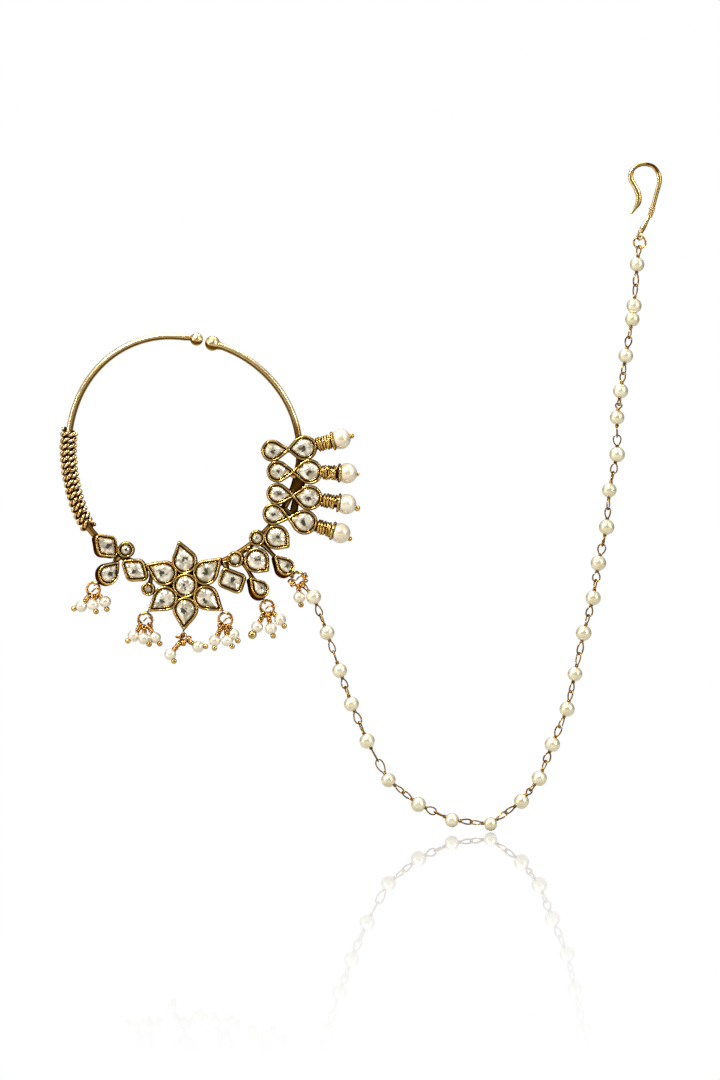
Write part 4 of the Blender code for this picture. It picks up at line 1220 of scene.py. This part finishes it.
def forged_hook(hook_ring):
    """Forged wire, flatter than it is wide, from its eye to its tapered tip, and the tail that is
    folded up beside it and cut off square."""
    eye = hook_ring + UP * HOOK_RING_RADIUS
    stations = smooth_through(np.array(HOOK))
    lead = np.array([(0.0, HOOK_EYE_RADIUS / HOOK_HEIGHT, 1.0)])
    stations = np.concatenate([lead, stations])
    across, up, thickness = stations.T
    path = eye + (across[:, None] * ACROSS * 0.98 + up[:, None] * UP * 0.994) * HOOK_HEIGHT
    shank = np.arange(len(stations)) < SHANK_STATIONS
    slim = 1
    for swell, height, spread in SHANK_SWELLS:
        slim = slim + swell * bell(up, height, spread) * shank
    thickness = thickness * HOOK_WIRE * 0.98 * slim
    share = np.linspace(0, 1, 24)[:, None]
    low, high, knot = (eye + (ACROSS * x + UP * z) * HOOK_HEIGHT for x, z in (*TAIL_ENDS, TAIL_KNOT))
    tail = low + (high - low) * share + TOWARDS_VIEWER * 0.30 * MM
    tail_width = 0.50 * MM + 0.50 * MM * share[:, 0]
    knot = knot + TOWARDS_VIEWER * 0.12 * MM
    lean = unit(TOWARDS_VIEWER + ACROSS * 0.9)
    shaded = unit(ACROSS - 0.8 * UP)
    # Painted dark reflection over the right of the crown.
    crown = np.clip(1.9 * bell(across, 0.18, 0.11) * bell(up, 0.96, 0.10), 0, 1)[:, None]

    def by_side(out):
        """Painted reflection: a dark line along the lower right side, and a dark patch over the right
        of the crown.
        """
        line = np.interp(out @ shaded, *HOOK_REFLECTION_BANDS)
        return line * (1 - crown * np.interp(out @ UP, (-0.6, 0.0), (0.2, 1.0)))

    return [
        carried(path, TOWARDS_VIEWER, thickness, thickness * 0.82, sides=24, rubbed_and_lit=by_side),
        carried(tail, TOWARDS_VIEWER, tail_width, tail_width * 0.7, sides=12, rubbed_and_lit=0.7),
        ring_of_wire(knot, 0.50 * MM, 0.42 * MM, unit(ACROSS - 0.4 * UP), TOWARDS_VIEWER, 26, 9),
        ring_of_wire(eye, HOOK_EYE_RADIUS, HOOK_EYE_WIRE, UP, lean, 36, 10),
    ]


# Assembly


def build():
    """Every piece with its finish and the solids that it replaces."""
    metals = [worn_and_lit_metal(*row) for row in METALS]
    gold, pale_gold, rope_gold, drop_gold, copper, hook_gold, bronze = metals
    cream, pale, ivory = (nacre(*row) for row in PEARLS)
    glass = foiled_glass()

    stones = [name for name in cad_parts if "stone" in name]
    seats = {name: Seat(name) for name in sorted(stones)}
    piece("hoop", [hoop()], pale_gold, ["frame"])
    piece("stone_collets", [collet(seat) for seat in seats.values()], gold, ["frame"])
    bars = [solder_bar(seat) for seat in seats.values() if needs_bar(seat)] + row_straps(seats)
    piece("solder_bars", bars, gold, ["frame"])
    piece("back_plate", [back_plate(seats["flower_stone"])], gold, ["frame"])
    for name, seat in seats.items():
        piece(f"cut_{name}", [cut_stone(seat)], glass, [name], flat=True)
    piece("twisted_winding", winding(), rope_gold, ["rope_winding"])

    for index in range(1, 5):
        middle, axis, base = drop_axis(index)
        size, back, out, sag = BALL_ENDS[index - 1]
        sideways = np.cross(axis, TOWARDS_VIEWER)
        end = middle + axis * (DROP_PEARL / 2 + out) + sideways * sag - TOWARDS_VIEWER * back
        metal = collar(base, middle, axis, index) + [gold_ball(end, size, axis)]
        pin = np.stack([middle, middle + axis * DROP_PEARL * 0.4, end])
        metal.append(carried(pin, UP, DROP_PIN, sides=8))
        piece(f"wound_collar_{index}", metal, drop_gold, [f"drop_wire_{index}"])
        bead_middle = middle - TOWARDS_VIEWER * DROP_PEARL_BACK
        bead = pearl(bead_middle, DROP_PEARL, axis, around=40, rows=23)
        piece(f"round_drop_pearl_{index}", [bead], cream, [f"drop_pearl_{index}"])

    places = hanging_places(seats)
    facing = TOWARDS_VIEWER
    eyes = [ring_of_wire(eye, EYE_RADIUS, EYE_WIRE, out, facing, 28, 9) for out, eye, _ in places]
    piece("hanging_eyes", eyes, gold, ["frame"])
    for index, ((_, eye, ring), row) in enumerate(zip(places, CLUSTERS), start=1):
        radius = JUMP_RING_RADIUS * RING_SIZES[index - 1]
        hub = eye + unit(ring - eye) * radius
        pins = [headpin(ring, hub, radius, *pin) for pin in row[3]]
        turn = np.radians(RING_TURNS[index - 1])
        across = ACROSS * np.cos(turn) + TOWARDS_VIEWER * np.sin(turn)
        metal = [ring_of_wire(hub, radius, JUMP_RING_WIRE, across, UP, 48, 12)]
        metal += [surface for wires, _, _ in pins for surface in wires]
        metal += knots(hub, radius, KNOTS[index - 1], KNOT_SPREADS[index - 1])
        piece(f"jump_ring_{index}", metal, copper, [f"pearl_cluster_{index}"])
        node = [f"pearl_cluster_{index}"]
        piece(f"cluster_pearls_{index}", [bead for _, bead, _ in pins], pale, node)
        piece(f"ball_ends_{index}", [ball for _, _, ball in pins], drop_gold, node)

    ring = places[-1][2]
    route = np.array(CHAIN_ROUTE) * MM
    pearls = ring + route[:, :1] * ACROSS + route[:, 1:] * UP
    hook_ring = pearls[-1] + HOOK_RING_STEP[0] * ACROSS + HOOK_RING_STEP[1] * UP
    beads, wires = chain(pearls, ring, hook_ring)
    half = HOOP_SIDE_PEARLS
    for side, members in (("hoop_side", slice(None, half)), ("hook_side", slice(half, None))):
        node = f"chain_{side}"
        piece(f"chain_pearls_{side}", beads[members], ivory, [node])
        piece(f"chain_links_{side}", sum(wires[members], []), bronze, [node])
    end_ring = ring_of_wire(hook_ring, HOOK_RING_RADIUS, HOOK_RING_WIRE, ACROSS, UP, 44, 10)
    piece("chain_end_ring", [end_ring], copper, ["hook_ring"])
    piece("forged_hook", forged_hook(hook_ring), hook_gold, ["hair_hook"])


# Stage


def camera():
    """Camera straight in front, so far away that its frame is as high as the photo's at the depth of
    the hanging pieces."""
    made = bpy.data.cameras.new("camera")
    made.lens = LENS
    made.sensor_width = SENSOR
    distance = FRAME_HEIGHT * LENS / SENSOR
    obj = bpy.data.objects.new("camera", made)
    obj.location = (VIEW_ACROSS, HANG_DEPTH[1] - distance, VIEW_UP)
    obj.rotation_euler = (np.pi / 2, 0, 0)
    bpy.context.scene.collection.objects.link(obj)
    bpy.context.scene.camera = obj


def softbox(name, place, size, power):
    """Oblong area light at a place, turned to the aim and hidden from the camera itself."""
    data = bpy.data.lights.new(name, "AREA")
    data.shape = "RECTANGLE"
    data.size, data.size_y = size
    data.energy = power
    data.color = SOFTBOX_COLOUR
    obj = bpy.data.objects.new(name, data)
    away = Vector(place) - Vector(SOFTBOX_AIM)
    obj.location = place
    obj.rotation_euler = away.to_track_quat("Z", "Y").to_euler()
    obj.visible_camera = False
    bpy.context.scene.collection.objects.link(obj)


def surroundings():
    """White to the eye. What the metal mirrors is dim in front and behind, brighter to the sides,
    brightest overhead, and white in a narrow cone straight behind, which the floor mirrors."""
    world = bpy.data.worlds.new("studio")
    bpy.context.scene.world = world
    world.use_nodes = True
    nodes = Nodes(world.node_tree)
    nodes.tree.nodes.clear()
    way = nodes.add("SeparateXYZ", nodes.add("TexCoord").outputs["Generated"]).outputs
    beside = nodes.ramp(nodes.math("MULTIPLY", way["Y"], way["Y"]), *BESIDE)
    above = nodes.ramp(way["Z"], *ABOVE)
    behind = nodes.ramp(way["Y"], *BEHIND)
    strength = nodes.math("MAXIMUM", nodes.math("MULTIPLY", beside, above), behind)
    seen, lit = (nodes.add("Background", WHITE, shining) for shining in (1.0, strength))
    nodes.show("OutputWorld", seen, lit)


def floor():
    """Plain white floor, wide enough to run out of sight, with a faint mirror image that fades
    towards the viewer."""
    mesh = bpy.data.meshes.new("floor")
    reach = FLOOR_REACH
    corners = [(-reach, -reach), (reach, -reach), (reach, reach), (-reach, reach)]
    mesh.from_pydata([(x, y, FLOOR_HEIGHT) for x, y in corners], [], [(0, 1, 2, 3)])
    white = bpy.data.materials.new("floor_white")
    white.use_nodes = True
    nodes = Nodes(white.node_tree)
    nodes.tree.nodes.clear()
    place = nodes.add("SeparateXYZ", nodes.add("TexCoord").outputs["Object"]).outputs
    share = nodes.ramp(place["Y"], -FLOOR_FADE, 0.0, 0.0, FLOOR_MIRROR)
    gloss = nodes.add("BsdfGlossy", Color=WHITE, Roughness=0.02)
    seen = nodes.add("MixShader", share, nodes.add("Emission").outputs[0], gloss.outputs[0])
    nodes.show("OutputMaterial", seen, nodes.add("BsdfDiffuse", FLOOR_GREY))
    mesh.materials.append(white)
    obj = bpy.data.objects.new("floor", mesh)
    bpy.context.scene.collection.objects.link(obj)


camera()
surroundings()
for name, row in SOFTBOXES.items():
    softbox(name, *row)
floor()
build()
bpy.context.scene.view_settings.view_transform = "Standard"
